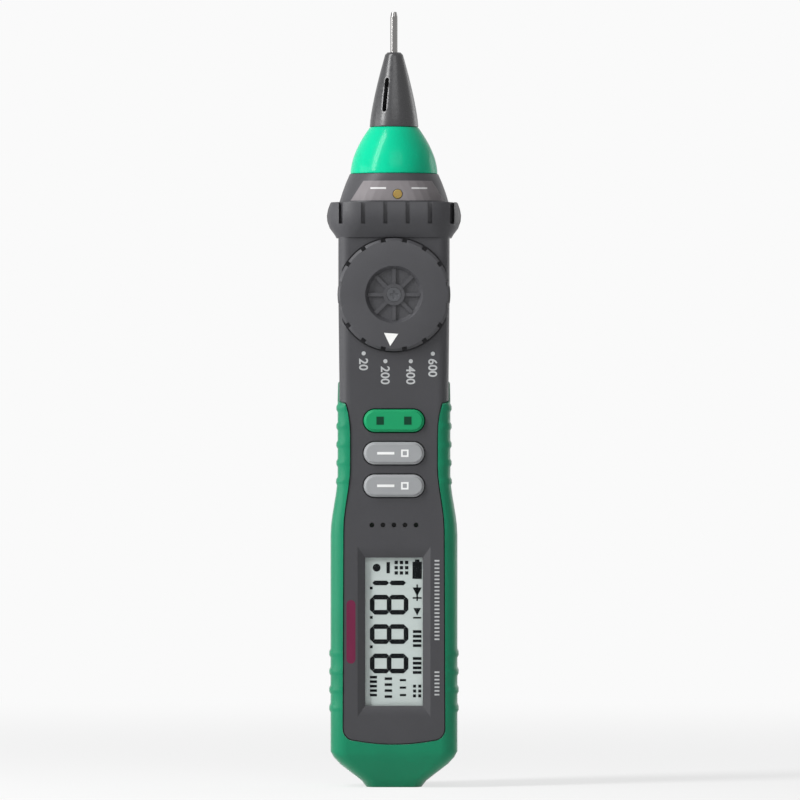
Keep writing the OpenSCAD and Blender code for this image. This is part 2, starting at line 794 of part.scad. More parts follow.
// Dial, with its spindle, and what turns with it
module function_dial() {
    edge_r = dial_r - dial_edge;
    dish_r = dish_d / 2;
    dish_y = dial_front - dish_depth;
    crown = [for (i = [0:curve_n]) let (t = i / curve_n)
        [mix(dish_r + dish_wall, edge_r, t), dial_front - dial_crown * t * t]];
    color("#3f3f42") translate([0, 0, dial_z]) rotate([90, 0, 0]) difference() {
        union() {
            rotate_extrude() polygon(concat([[0, dial_seat], [0, dish_y], [dish_r - dish_wall, dish_y]], crown,
                [[dial_r, dial_front - dial_crown - dial_edge], [dial_r, dial_seat]]));
            translate([0, 0, rotor_front + slide]) cylinder(r = spindle_r, h = dial_seat - rotor_front);
            translate([0, 0, dish_y - over]) cylinder(r = hub_r, h = hub_h + over);
            for (i = [0:spokes - 1]) rotate([0, 0, i * 360 / spokes])
                translate([0, -spoke_w / 2, dish_y - over]) cube([dish_r - dish_wall / 2, spoke_w, spoke_h + over]);
        }
        for (i = [0:dial_notches - 1]) rotate([0, 0, (i + 1 / 2) * 360 / dial_notches])
            translate([dial_r - notch_d, -notch_w / 2, dial_seat - over])
                cube([notch_d + over, notch_w, dial_front]);
        translate([0, 0, dish_y + hub_h - screw_head_h]) cylinder(r = screw_head_r + seat, h = dial_front);
        cylinder(r = screw_r + seat, h = dial_front);
    }
}
module dial_screw() {
    head_y = dial_front - dish_depth + hub_h - screw_head_h;
    color("#b4b6ba") translate([0, 0, dial_z]) rotate([90, 0, 0]) difference() {
        union() {
            translate([0, 0, head_y]) cylinder(r = screw_head_r, h = screw_head_h);
            translate([0, 0, rotor_front - rotor_t]) cylinder(r = screw_r, h = head_y - rotor_front + rotor_t + seat);
        }
        for (a = [0, 90]) rotate([0, 0, a]) translate([-screw_r, -screw_slot_w / 2, head_y + screw_head_h / 2])
            cube([2 * screw_r, screw_slot_w, screw_head_h]);
    }
}
module dial_rotor() {
    rotor_back = rotor_front - rotor_t;
    color("#d9d4c8") translate([0, 0, dial_z]) rotate([90, 0, 0]) difference() {
        union() {
            translate([0, 0, rotor_back]) cylinder(r = rotor_r, h = rotor_t);
            for (x = [-1, 1]) translate([x * detent_r, 0, rotor_back - ball_cup_t])
                cylinder(r = ball_cup_r, h = ball_cup_t + seat);
        }
        translate([0, 0, rotor_back - over]) cylinder(r = screw_r + seat, h = rotor_t + 2 * over);
        for (x = [-1, 1]) translate([x * detent_r, 0, rotor_back - ball_cup_t + wiper_t])
            cylinder(r = ball_r + seat, h = rotor_t + ball_cup_t + over);
    }
}
module dial_wipers() {
    foot = board_front + wiper_gap;
    color("#d0b070") translate([0, 0, dial_z]) rotate([90, 0, 0]) for (a = [90, 270]) rotate([0, 0, a]) {
        translate([detent_r - wiper_w, -wiper_w / 2, rotor_front - rotor_t - wiper_t])
            cube([wiper_w, wiper_w, wiper_t]);
        translate([detent_r - wiper_w, -wiper_w / 2, foot])
            cube([wiper_t, wiper_w, rotor_front - rotor_t - foot]);
    }
}
module detent_balls() {
    color("#c8cacc") for (x = [-1, 1])
        translate([x * detent_r, ball_r + ball_gap - wall_in, dial_z]) sphere(ball_r);
}
module detent_springs() {
    foot = rotor_front - rotor_t - ball_cup_t + wiper_t;
    color("#a8aaad") for (x = [-1, 1]) difference() {
        face_pin(ball_r - seat, x * detent_r, dial_z, wall_in - ball_gap - 2 * ball_r + seat, foot);
        face_pin(ball_r - wiper_t, x * detent_r, dial_z, wall_in, foot - over);
    }
}

// Buttons, alike but for their colour, and the sheet under them
module button(i, shade) {
    color(shade) translate([0, 0, button_z[i]]) {
        on_face(face_y + button_proud - button_edge, wall_in - slide - flange_t) pill(button_w, button_h);
        on_face(face_y + button_proud, face_y) pill(button_w - 2 * button_edge, button_h - 2 * button_edge);
        on_face(wall_in - slide, wall_in - slide - flange_t)
            pill(button_w + 2 * flange_lip, button_h + 2 * flange_lip);
        on_face(wall_in - slide, button_back) circle(dome_r);
    }
}
module hold_button() { button(0, "#10945c"); }
module select_button() { button(1, "#a0a0a2"); }
module range_button() { button(2, "#a0a0a2"); }
module keypad_membrane() {
    top = button_z[0] + button_h / 2 + flange_lip;
    foot = button_z[2] - button_h / 2 - flange_lip;
    color("#d8d8d4") {
        face_block(button_w, foot, top, board_front + sheet_t, board_front);
        for (z = button_z) face_pin(dome_r, 0, z, board_front + sheet_t + dome_h, board_front);
    }
}

// Display
module display_window() {
    color("#c6d2d4") on_face(window_front - seat, window_front - seat - window_t) translate([0, bezel_z])
        square([view_w + 2 * window_lip, view_h + 2 * window_lip], center = true);
}
module lcd_panel() {
    color("#bcc8c6") face_block(glass_w, bezel_z - glass_h / 2, bezel_z + glass_h / 2, glass_front, glass_front - glass_t);
}
module lcd_frame() {
    zebra_x = glass_w / 2 - zebra_w / 2;
    color("#efefea") difference() {
        face_block(glass_w + 2 * frame_lip, bezel_z - glass_h / 2 - frame_lip, bezel_z + glass_h / 2 + frame_lip,
            glass_front, frame_back);
        face_block(glass_w + 2 * seat, bezel_z - glass_h / 2 - seat, bezel_z + glass_h / 2 + seat,
            glass_front + over, glass_front - glass_t - seat);
        for (x = [-1, 1])
            face_block(zebra_w + 2 * seat, bezel_z - glass_h / 2 + frame_lip, bezel_z + glass_h / 2 - frame_lip,
                glass_front, frame_back - over, x * zebra_x);
    }
}
module zebra_strips() {
    zebra_x = glass_w / 2 - zebra_w / 2;
    color("#c090a0") for (x = [-1, 1])
        face_block(zebra_w, bezel_z - glass_h / 2 + frame_lip + seat, bezel_z + glass_h / 2 - frame_lip - seat,
            glass_front - glass_t - seat, board_front + seat, x * zebra_x);
}

// Board and what it carries
module main_board() {
    color("#1f6b45") difference() {
        face_block(board_w, board_z0, board_z1, board_front, board_back);
        for (x = [-1, 1]) face_pin(case_boss_r + 2 * slide, x * case_top_x, case_top_z, board_front + over, board_back - over);
        face_pin(spindle_r, 0, dial_z, board_front + over, board_back - over);
    }
}
module meter_chip() {
    color("#1c1c1e") face_block(chip_w, button_z[1] - chip_w / 2, button_z[1] + chip_w / 2, board_back, board_back - chip_t);
}
module board_parts() {
    part_x = board_w / 4;
    chip_z = fuse_z - fuse_l / 2 - part_room;
    part_z = [z_neck + part_pitch, z_neck + 2 * part_pitch, z_neck + 3 * part_pitch];
    color("#6b5a3a") {
        for (z = part_z) face_block(part_w, z - part_w / 2, z + part_w / 2, board_back, board_back - part_t, part_x);
        face_block(part_w, chip_z - 2 * part_w, chip_z, board_back, board_back - chip_t, -part_x);
    }
}
module sounder() {
    color("#202022") difference() {
        face_pin(sounder_r, 0, sound_z, wall_in - slide, wall_in - slide - sounder_t);
        face_pin(sound_hole_d / 2, 0, sound_z, wall_in, wall_in - slide - sounder_t / 2);
    }
    color("#b0b2b4") face_pin(sounder_r / 3, 0, sound_z, wall_in - slide - sounder_t, board_front);
}
module fuse() {
    fuse_y = board_back - clip_t - fuse_r;
    color("#c8cccf") translate([-board_w / 4, -fuse_y, fuse_z - fuse_l / 2]) {
        cylinder(r = fuse_r - seat, h = fuse_l);
        for (z = [0, fuse_l - fuse_cap_l]) translate([0, 0, z]) cylinder(r = fuse_r, h = fuse_cap_l);
    }
}
module fuse_clips() {
    fuse_y = board_back - clip_t - fuse_r;
    color("#c2b280") for (z = [-1, 1]) difference() {
        face_block(2 * (fuse_r + clip_t), fuse_z + z * (fuse_l - fuse_cap_l) / 2 - clip_w / 2,
            fuse_z + z * (fuse_l - fuse_cap_l) / 2 + clip_w / 2, board_back, fuse_y, -board_w / 4);
        translate([-board_w / 4, -fuse_y, fuse_z - fuse_l]) cylinder(r = fuse_r + seat, h = 2 * fuse_l);
    }
}

// Battery bay
module battery_tray() {
    color("#343438") difference() {
        face_block(2 * tray_half_w, tray_z0, tray_z1, tray_floor, -tray_back);
        face_block(2 * (tray_half_w - tray_side), tray_z0 + tray_wall, tray_z1 - tray_wall,
            tray_floor - tray_wall, -tray_back - over);
    }
}
module cell(x) {
    color("#c9a13c") translate([x * cell_x, cell_y, x > 0 ? cell_z0 + cell_l : cell_z0 + spring_l])
        rotate([x > 0 ? 180 : 0, 0, 0]) {
            cylinder(r = cell_r, h = cell_l - nipple_h);
            cylinder(r = nipple_r, h = cell_l);
        }
}
module battery_left() { cell(-1); }
module battery_right() { cell(1); }
module battery_springs() {
    color("#c8cacc") for (x = [-1, 1])
        translate([x * cell_x, cell_y, x > 0 ? cell_z0 + cell_l : cell_z0]) difference() {
            cylinder(r = spring_r, h = spring_l - seat);
            translate([0, 0, -over]) cylinder(r = spring_r - 2 * wire_r, h = spring_l + 2 * over);
        }
}
module battery_contacts() {
    plate = 2 * nipple_r + 2 * nipple_h;
    color("#c8cacc") {
        face_block(2 * (cell_x + nipple_r), tray_z0 + tray_wall + seat, tray_z0 + tray_wall + seat + contact_t,
            plate / 2 - cell_y, -plate / 2 - cell_y);
        for (x = [-1, 1]) face_block(plate, tray_z1 - tray_wall - seat - contact_t, tray_z1 - tray_wall - seat,
            plate / 2 - cell_y, -plate / 2 - cell_y, x * cell_x);
    }
}
module battery_cover() {
    lip_w = cell_x + cell_r - slide;
    color("#158060") difference() {
        union() {
            intersection() {
                loft(body_sections);
                battery_cover_space(0, cover_in);
            }
            face_block(2 * lip_w, tray_z0 + slide, tray_z1 - slide, lip_in - cover_in, -cover_in - seat);
        }
        face_block(2 * (lip_w - lip_wall), tray_z0 + slide + lip_wall, tray_z1 - slide - lip_wall, 0, -cover_in);
        face_pin(cover_screw_r + seat, 0, cover_screw_z, 0, -body_back - over);
        face_pin(cover_head_r + seat, 0, cover_screw_z, -cover_in - cover_head_floor, -body_back - over);
    }
}
module cover_screw() {
    head_y = cover_in + cover_head_floor;
    color("#8d8f93") difference() {
        union() {
            face_pin(cover_head_r, 0, cover_screw_z, -head_y, -head_y - cover_head_h);
            face_pin(cover_screw_r, 0, cover_screw_z, cover_screw_l - head_y, -head_y - seat);
        }
        for (a = [0, 90]) translate([0, 0, cover_screw_z]) rotate([0, a, 0])
            face_block(2 * cover_screw_r, -screw_slot_w / 2, screw_slot_w / 2, -head_y - cover_head_h / 2, -2 * body_back);
    }
}

// Socket in the tail
module com_socket() {
    color("#c9a24a") {
        difference() {
            union() {
                translate([0, 0, tube_foot]) cylinder(r = socket_tube_d / 2, h = socket_l - tube_foot);
                translate([0, 0, socket_l - shroud_base_t - contact_t]) cylinder(r = shroud_bore_d / 2 - seat, h = contact_t);
            }
            translate([0, 0, tube_foot - over]) cylinder(r = socket_bore_d / 2, h = socket_l - tube_foot - shroud_base_t);
        }
        translate([0, 0, socket_l - seat]) cylinder(r = solder_r, h = solder_l);
    }
}
module socket_shroud() {
    color("#1d1d1f") difference() {
        translate([0, 0, socket_lip]) cylinder(r = shroud_r, h = socket_l - socket_lip);
        translate([0, 0, socket_lip - over]) cylinder(r = shroud_bore_d / 2, h = socket_l - shroud_base_t - socket_lip + over);
        cylinder(r = socket_tube_d / 2 + seat, h = socket_l + over);
    }
}
module socket_lead() {
    lead_z = socket_l + solder_l / 2;
    color("#c25b3a") {
        face_block(lead_w, lead_z, lead_z + lead_t, board_back + seat, solder_r);
        face_block(lead_w, lead_z, board_z0 + lead_w, board_back, board_back - lead_t);
    }
}
module case_screws() {
    color("#8d8f93") for (x = [-1, 1]) {
        case_screw(x * case_top_x, case_top_z, neck_back - case_sink);
        case_screw(x * case_low_x, case_low_z, body_back - jacket_t - case_sink);
    }
}
module case_screw(x, z, head_y) {
    difference() {
        union() {
            face_pin(case_head_r, x, z, -head_y, -head_y - case_head_h);
            face_pin(case_r - seat, x, z, case_l - head_y, -head_y - seat);
        }
        for (a = [0, 90]) translate([x, 0, z]) rotate([0, a, 0])
            face_block(2 * case_r, -screw_slot_w / 2, screw_slot_w / 2, -head_y - case_head_h / 2, -2 * body_back);
    }
}

front_shell();
rear_shell();
grip_jacket();
finger_guard();
head_cowl();
nose_cone();
probe_holder();
probe_needle();
probe_ferrule();
probe_contact();
probe_sleeve();
indicator_lens();
indicator_led();
function_dial();
dial_screw();
dial_rotor();
dial_wipers();
detent_balls();
detent_springs();
hold_button();
select_button();
range_button();
keypad_membrane();
display_window();
lcd_panel();
lcd_frame();
zebra_strips();
main_board();
meter_chip();
board_parts();
sounder();
fuse();
fuse_clips();
battery_tray();
battery_left();
battery_right();
battery_springs();
battery_contacts();
battery_cover();
cover_screw();
com_socket();
socket_shroud();
socket_lead();
case_screws();
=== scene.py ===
"""Pen multimeter standing on its tail: finishes, printed marks and a plain studio."""

import json
import math

import bmesh
import bpy
from bpy.props import (
    FloatProperty,
    FloatVectorProperty,
    PointerProperty,
    StringProperty,
)
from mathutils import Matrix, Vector
from mathutils.bvhtree import BVHTree


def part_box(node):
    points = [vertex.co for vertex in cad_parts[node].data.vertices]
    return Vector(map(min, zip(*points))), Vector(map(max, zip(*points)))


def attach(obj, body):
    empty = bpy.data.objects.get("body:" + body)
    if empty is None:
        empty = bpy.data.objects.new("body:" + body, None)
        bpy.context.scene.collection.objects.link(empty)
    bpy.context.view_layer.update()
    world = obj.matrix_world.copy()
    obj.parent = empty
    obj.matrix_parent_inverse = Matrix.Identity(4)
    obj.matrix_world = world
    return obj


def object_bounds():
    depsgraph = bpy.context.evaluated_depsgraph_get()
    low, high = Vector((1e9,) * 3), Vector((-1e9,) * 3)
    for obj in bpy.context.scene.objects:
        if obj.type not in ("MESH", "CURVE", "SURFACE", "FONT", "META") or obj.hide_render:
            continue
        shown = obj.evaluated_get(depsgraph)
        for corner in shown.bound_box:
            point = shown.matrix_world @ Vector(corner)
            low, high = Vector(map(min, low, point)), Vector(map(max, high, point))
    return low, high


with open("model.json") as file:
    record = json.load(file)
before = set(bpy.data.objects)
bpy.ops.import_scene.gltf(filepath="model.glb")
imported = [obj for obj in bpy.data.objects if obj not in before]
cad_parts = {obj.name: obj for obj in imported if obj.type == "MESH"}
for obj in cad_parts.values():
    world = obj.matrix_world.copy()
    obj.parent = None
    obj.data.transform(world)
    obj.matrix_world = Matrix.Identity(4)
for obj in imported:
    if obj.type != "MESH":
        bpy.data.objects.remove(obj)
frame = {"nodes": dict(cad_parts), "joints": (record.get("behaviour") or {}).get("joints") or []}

bl_info = {
    "name": "Pen Multimeter",
    "version": (1, 0, 0),
    "blender": (4, 5, 0),
    "location": "View3D > Sidebar > Pen Meter",
    "description": "Finishes, printed marks and a plain studio for a pen-shaped multimeter",
    "category": "Object",
}

MM = 0.001
CAD_LOW, CAD_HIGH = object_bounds()
NODES = frame["nodes"]


def middle(node):
    """Centre of a CAD node's box."""
    low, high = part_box(node)
    return (low + high) / 2


def joint(name):
    """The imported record's entry of one joint."""
    return next(j for j in frame["joints"] if j["name"] == name)


# The place of the dial, read from its joint
DIAL_CENTRE = Vector(joint("dial_turn")["pos_m"])

# The photograph's frame: its size, the size of a pixel, and the pen's axis and tail in it
PHOTO_PIXELS = 800
PIXEL_SIZE = 0.26873 * MM
AXIS_COLUMN = 394
TAIL_ROW = 786

# The dial's pointer: its turn from straight down, its width, and its ends from the dial's centre
POINTER_ANGLE = -4.2
POINTER_WIDTH = 3.8 * MM
POINTER_BASE = 10.4 * MM
POINTER_APEX = 13.8 * MM

# The display's digits: size, stroke, and their places across and down from its centre
DIGIT_WIDTH = 5.3 * MM
DIGIT_HEIGHT = 10.3 * MM
DIGIT_STROKE = 1.25 * MM
DIGIT_FOOT = -6.45 * MM
DIGIT_START = -17.7 * MM
DIGIT_PITCH = 7.86 * MM
POINT_SIZE = 0.75 * MM

# Plain signs on the display, in millimetres: across and down from its centre, width and height
DISPLAY_SIGNS = (
    (-1.55, -17.1, 0.9, 3.0),
    *((x, down, 0.9, 0.9) for x in (0.6, 2.0, 3.4) for down in (-18.5, -17.1, -15.7)),
    (6.2, -16.4, 2.5, 4.6),
    (6.2, -19.0, 1.2, 0.6),
    (6.2, -9.0, 2.4, 0.45),
    (6.2, -10.4, 0.4, 4.4),
    (6.2, -3.7, 2.2, 0.45),
    *((6.2, down, 2.3, 0.75) for down in (0.0, 1.25, 2.5, 3.75)),
    *((6.2, down, 2.3, 0.75) for down in (7.2, 8.45, 9.7, 10.95)),
    *((x, down, 0.8, 0.8) for x in (5.5, 6.9) for down in (14.6, 15.9, 17.2)),
    *((-5.5, down, 1.9, 0.7) for down in (12.2, 13.4, 14.6, 15.8, 17.0)),
    *((-1.5, down, 2.0, 0.7) for down in (12.6, 14.2, 15.8, 17.4)),
    *((2.4, down, 1.7, 0.6) for down in (13.0, 15.0, 17.0)),
)

# Plain arrow heads on the display, in millimetres: across and down from its centre, and size
DISPLAY_ARROWS = ((6.2, -10.6, 2.4), (6.2, -5.3, 2.0))

# How far a print stands on its surface, and how often a mark may be cut to follow it
INK_PROUD = 0.03 * MM
MARK_CUTS = 8

# The dots at the dial's positions, in millimetres: across and down from the dial's centre
POSITION_DOTS = ((-8.1, 15.7), (-2.3, 17.8), (4.5, 17.8), (10.4, 15.8))
POSITION_FIGURES = ("20", "200", "400", "600")

# The cowl's grey, painted only across its lit front, so that the dark shell left at its sides and in a band
# under the nose is painted shade: heights of its foot and top, its reach to each side, and the lens's hole
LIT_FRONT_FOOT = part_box("head_cowl")[0].z + 0.4 * MM
LIT_FRONT_TOP = LIT_FRONT_FOOT + 5.3 * MM
LIT_FRONT_FOOT_REACH = 12.6 * MM
LIT_FRONT_TOP_REACH = 9.2 * MM
LIT_FRONT_HOLE = 1.4 * MM

# Share of a font's size that its figures stand, and how far their strokes are thickened
CAP_SHARE = 0.7
FIGURE_WEIGHT = 0.06 * MM

# The plain scale beside the display: its place across, and the start and number of each run of ticks
TICK_X = 11.5 * MM
TICK_WIDTH = 1.3 * MM
TICK_HEIGHT = 0.42 * MM
TICK_PITCH = 1.0 * MM
TICK_GROUPS = ((-19 * MM, 22), (10.8 * MM, 7))

# The plain bar on the display's other side
ACCENT_X = -11.5 * MM
ACCENT_WIDTH = 2.4 * MM
ACCENT_HEIGHT = 17 * MM

# The floor: how much of its seen tone is its own beside the pen, and where that grows to all of it
FLOOR_RADIUS = 4
FLOOR_GLOW = 0.74
FLOOR_NEAR = 0.1
FLOOR_FAR = 0.7


# Size of the uneven patches of colour, in millimetres, and how far a roughness strays
MOTTLE_SIZE = 9
ROUGH_SPREAD = 0.06

# The part of a noise's range that is used, and the strength of every bump
NOISE_LOW = 0.3
NOISE_HIGH = 0.7
BUMP_STRENGTH = 0.6

# Rounded edges: how near points are joined, how flat a face is to be made one, and the shading's weight
WELD_REACH = 0.002 * MM
FLAT_ANGLE = 0.5
SHADING_WEIGHT = 80

# Edges of single pieces, as multiples of the moulded edge
GUARD_EDGE_SHARE = 1.8
BUTTON_EDGE_SHARE = 2.5
SCREW_EDGE_SHARE = 1 / 3

# The least angle at which the front shell's edges are rounded, low enough for the bezel's rim
SHELL_ANGLE = 22

# The two plain bars on the cowl: their places across and above the lens, width and height
COWL_BARS_X = (-5.2 * MM, 5.8 * MM)
COWL_BARS_RISE = 1.6 * MM
COWL_BAR_WIDTH = 4.2 * MM
COWL_BAR_HEIGHT = 0.45 * MM

# The plain marks on the buttons: two squares on the green one, a bar and a small frame on the grey ones
SQUARES_X = (-3.7 * MM, 3.7 * MM)
SQUARE_WIDTH = 2.0 * MM
SQUARE_HEIGHT = 2.2 * MM
BUTTON_BAR_X = -2.2 * MM
BUTTON_BAR_WIDTH = 4.6 * MM
BUTTON_BAR_HEIGHT = 0.7 * MM
BUTTON_FRAME_X = 2.9 * MM

# How far the figures start below their dots
FIGURE_DROP = 1.3 * MM

# The disc among the display's signs: its place across and above the centre, and its radius
SIGN_DISC_X = -4.65 * MM
SIGN_DISC_RISE = 17.1 * MM
SIGN_DISC_RADIUS = 1.05 * MM

# What the lamps point at
LAMP_AIM = Vector((0, 0, 0.12))


# The strip behind each side seam of the neck: its ends up the neck, its height, thickness and room
SEAM_FOOT = 104 * MM
SEAM_TOP = 148.2 * MM
SEAM_RISE = 0.9 * MM
SEAM_THICK = 0.35 * MM
SEAM_ROOM = 0.02 * MM
SEAM_STEPS = 12


# Colours and materials
def linear(hex_colour, alpha=1.0):
    """An sRGB hex colour as linear red, green, blue and alpha."""
    parts = [int(hex_colour[i : i + 2], 16) / 255 for i in (1, 3, 5)]
    return (*[c / 12.92 if c <= 0.04045 else ((c + 0.055) / 1.055) ** 2.4 for c in parts], alpha)


def add_node(tree, kind, links=None, **settings):
    """Adds a shader node: settings are its properties or plain socket values, links its linked sockets."""
    node = tree.nodes.new(kind)
    for name, value in settings.items():
        if hasattr(node, name):
            setattr(node, name, value)
        else:
            node.inputs[name.replace("_", " ")].default_value = value
    for name, source in (links or {}).items():
        socket = [i for i in node.inputs if i.name == name and i.enabled][0]
        tree.links.new(source, socket)
    return node


def colour_of(mix):
    """The colour output of a Mix node, which has one output for each kind of data."""
    return next(o for o in mix.outputs if o.enabled)


def surface(name, colour, roughness, grain=0.4, depth=0.02, mottle=0.05, streak=None, **shader):
    """A material with a grain of a size and depth in millimetres, and uneven colour and roughness.

    grain is the size of the grain and depth its height, mottle how far the colour strays, and streak
    stretches the grain along Z. Other names are plain values of the shader's own sockets.
    """
    material = bpy.data.materials.new(name)
    material.use_nodes = True
    tree = material.node_tree
    tree.nodes.clear()
    place = add_node(tree, "ShaderNodeTexCoord").outputs["Object"]
    if streak:
        place = add_node(tree, "ShaderNodeMapping", {"Vector": place}, Scale=streak).outputs["Vector"]
    fine = add_node(tree, "ShaderNodeTexNoise", {"Vector": place}, Scale=1 / (grain * MM), Detail=3.0)
    broad = add_node(tree, "ShaderNodeTexNoise", {"Vector": place}, Scale=1 / (MOTTLE_SIZE * MM), Detail=4.0)
    tint = add_node(
        tree,
        "ShaderNodeMapRange",
        {"Value": broad.outputs["Fac"]},
        From_Min=NOISE_LOW,
        From_Max=NOISE_HIGH,
        To_Min=1 - mottle,
        To_Max=1 + mottle,
    )
    shade = add_node(
        tree,
        "ShaderNodeMix",
        {"B": tint.outputs["Result"]},
        data_type="RGBA",
        blend_type="MULTIPLY",
        Factor=1.0,
    )
    [i for i in shade.inputs if i.name == "A" and i.enabled][0].default_value = colour
    rough = add_node(
        tree,
        "ShaderNodeMapRange",
        {"Value": fine.outputs["Fac"]},
        From_Min=NOISE_LOW,
        From_Max=NOISE_HIGH,
        To_Min=max(roughness - ROUGH_SPREAD, 0.02),
        To_Max=min(roughness + ROUGH_SPREAD, 1.0),
    )
    bump = add_node(
        tree,
        "ShaderNodeBump",
        {"Height": fine.outputs["Fac"]},
        Strength=BUMP_STRENGTH,
        Distance=depth * MM,
    )
    look = add_node(
        tree,
        "ShaderNodeBsdfPrincipled",
        {
            "Base Color": colour_of(shade),
            "Roughness": rough.outputs["Result"],
            "Normal": bump.outputs["Normal"],
        },
        **shader,
    )
    add_node(tree, "ShaderNodeOutputMaterial", {"Surface": look.outputs["BSDF"]})
    return material


# What a user may change
class PEN_PG_housing(bpy.types.PropertyGroup):
    """Colours and edges of the housing."""

    shell: FloatVectorProperty(
        name="Shell", description="Colour of the two shells and the guard", subtype="COLOR", size=4,
        default=linear("#3E3E41"), min=0, max=1)
    dial: FloatVectorProperty(
        name="Dial", description="Colour of the dial", subtype="COLOR", size=4,
        default=linear("#454548"), min=0, max=1)
    jacket: FloatVectorProperty(
        name="Jacket", description="Colour of the soft jacket", subtype="COLOR", size=4,
        default=linear("#0B7C58"), min=0, max=1)
    nose: FloatVectorProperty(
        name="Nose", description="Colour of the bright cone", subtype="COLOR", size=4,
        default=linear("#04BA8C"), min=0, max=1)
    # The cowl's grey, painted only where its front is lit; the dark shell round it is painted shade
    cowl: FloatVectorProperty(
        name="Cowl panel", description="Colour of the pale panel on the cowl", subtype="COLOR", size=4,
        default=linear("#7B7779"), min=0, max=1)
    key_green: FloatVectorProperty(
        name="Green button", description="Colour of the top button", subtype="COLOR", size=4,
        default=linear("#14925E"), min=0, max=1)
    key_grey: FloatVectorProperty(
        name="Grey buttons", description="Colour of the lower buttons", subtype="COLOR", size=4,
        default=linear("#97999B"), min=0, max=1)
    edge: FloatProperty(
        name="Edge", description="Width of the rounding on moulded edges", subtype="DISTANCE", unit="LENGTH",
        default=0.22 * MM, min=0.02 * MM, max=0.6 * MM)


class PEN_PG_marks(bpy.types.PropertyGroup):
    """Printed marks on the face, the dial and the display."""

    ink: FloatVectorProperty(
        name="Ink", description="Colour of the printed marks", subtype="COLOR", size=4,
        default=linear("#B7B9BA"), min=0, max=1)
    accent: FloatVectorProperty(
        name="Accent", description="Colour of the bar beside the display", subtype="COLOR", size=4,
        default=linear("#6C2441"), min=0, max=1)
    reading: StringProperty(
        name="Reading", description="Digits on the display, from its top", default="1888", maxlen=4)
    figure_height: FloatProperty(
        name="Figures", description="Height of the figures beside the dial", subtype="DISTANCE",
        unit="LENGTH", default=2.3 * MM, min=1 * MM, max=5 * MM)
    dot_radius: FloatProperty(
        name="Dots", description="Radius of the dots at the dial's positions", subtype="DISTANCE",
        unit="LENGTH", default=0.55 * MM, min=0.2 * MM, max=1 * MM)


class PEN_PG_studio(bpy.types.PropertyGroup):
    """Light and distance of the studio."""

    key_power: FloatProperty(
        name="Key light", description="Power of the tall light at the upper left", unit="POWER",
        default=7.0, min=0, max=100)
    front_power: FloatProperty(
        name="Front light", description="Power of the soft light above the camera", unit="POWER",
        default=1.8, min=0, max=100)
    left_power: FloatProperty(
        name="Left light", description="Power of the broad light on the left", unit="POWER",
        default=4.6, min=0, max=100)
    rim_power: FloatProperty(
        name="Rim light", description="Power of the light behind on the right", unit="POWER",
        default=2.4, min=0, max=100)
    ambient: FloatProperty(
        name="Ambient", description="Strength of the light from all round", default=0.2, min=0, max=2)
    camera_distance: FloatProperty(
        name="Camera distance", description="Distance from the camera to the meter", subtype="DISTANCE",
        unit="LENGTH", default=2.4, min=0.5, max=10)


# Finishes
def moulded_abs(name, colour, roughness=0.46, grain=0.45, depth=0.03):
    """ABS moulded in a spark-eroded tool: a fine matt grain that spreads the highlights.

    The real grain is about 0.1 mm, drawn coarser here so that it shows.
    """
    return surface(name, colour, roughness, grain=grain, depth=depth, mottle=0.04, IOR=1.53,
        Specular_IOR_Level=0.3)


def moulded_tpe(name, colour):
    """Thermoplastic rubber moulded over the shell: soft satin, with a faint sheen at grazing angles."""
    return surface(
        name, colour, 0.36, grain=0.6, depth=0.02, mottle=0.05, IOR=1.5, Specular_IOR_Level=0.22,
        Sheen_Weight=0.6, Sheen_Roughness=0.3)


def polished_polycarbonate(name, colour):
    """Polycarbonate from a polished tool: smooth, with sharp highlights under a clear skin."""
    return surface(
        name, colour, 0.24, grain=2.5, depth=0.004, mottle=0.03, IOR=1.58, Specular_IOR_Level=0.06,
        Coat_Weight=0.09, Coat_Roughness=0.06)


def silicone_rubber(name, colour):
    """Silicone keypad rubber: an even satin that softens its edges."""
    return surface(
        name, colour, 0.5, grain=0.5, depth=0.012, mottle=0.03, IOR=1.42, Specular_IOR_Level=0.3)


def pad_printed_ink(name, colour):
    """Pad-printed ink: a thin opaque film, slightly uneven and almost matt."""
    return surface(
        name, colour, 0.55, grain=0.3, depth=0.004, mottle=0.06, IOR=1.5, Specular_IOR_Level=0.15)


def nickel_plate(name):
    """Bright nickel over turned brass: mirror-like, with faint marks round the turning."""
    return surface(
        name, linear("#7E7D7C"), 0.16, grain=0.25, depth=0.001, mottle=0.03, streak=(0.2, 0.2, 4),
        Metallic=1.0)


def turned_brass(name):
    """Turned brass: warm yellow metal with fine rings from the lathe."""
    return surface(
        name, linear("#C9A65A"), 0.28, grain=0.25, depth=0.004, mottle=0.05, streak=(0.2, 0.2, 5),
        Metallic=1.0)


def zinc_plated_steel(name):
    """Zinc-plated steel: a cool grey metal, slightly cloudy."""
    return surface(name, linear("#A9ABAE"), 0.34, grain=0.3, depth=0.004, mottle=0.08, Metallic=1.0)


def blackened_steel(name):
    """Steel with a black oxide skin: dark metal that is bright only where it is rubbed."""
    return surface(name, linear("#5C5D60"), 0.36, grain=0.3, depth=0.005, mottle=0.15, Metallic=1.0)


def polarising_film(name):
    """Reflective liquid crystal glass under its polarising film: pale grey-green, satin."""
    return surface(name, linear("#D0DBD8"), 0.38, grain=3.0, depth=0.001, mottle=0.03, IOR=1.5)


def liquid_crystal(name):
    """Switched liquid crystal: near black, flat and slightly blue."""
    return surface(
        name, linear("#0E1113"), 0.5, grain=1.0, depth=0.001, mottle=0.04, IOR=1.5,
        Specular_IOR_Level=0.1)


def clear_acrylic(name):
    """Clear acrylic from a polished tool: nearly all that shows is its reflection."""
    return surface(
        name, linear("#20282A"), 0.05, grain=8, depth=0.001, mottle=0.0, IOR=1.49, Specular_IOR_Level=0.25,
        Alpha=0.05)


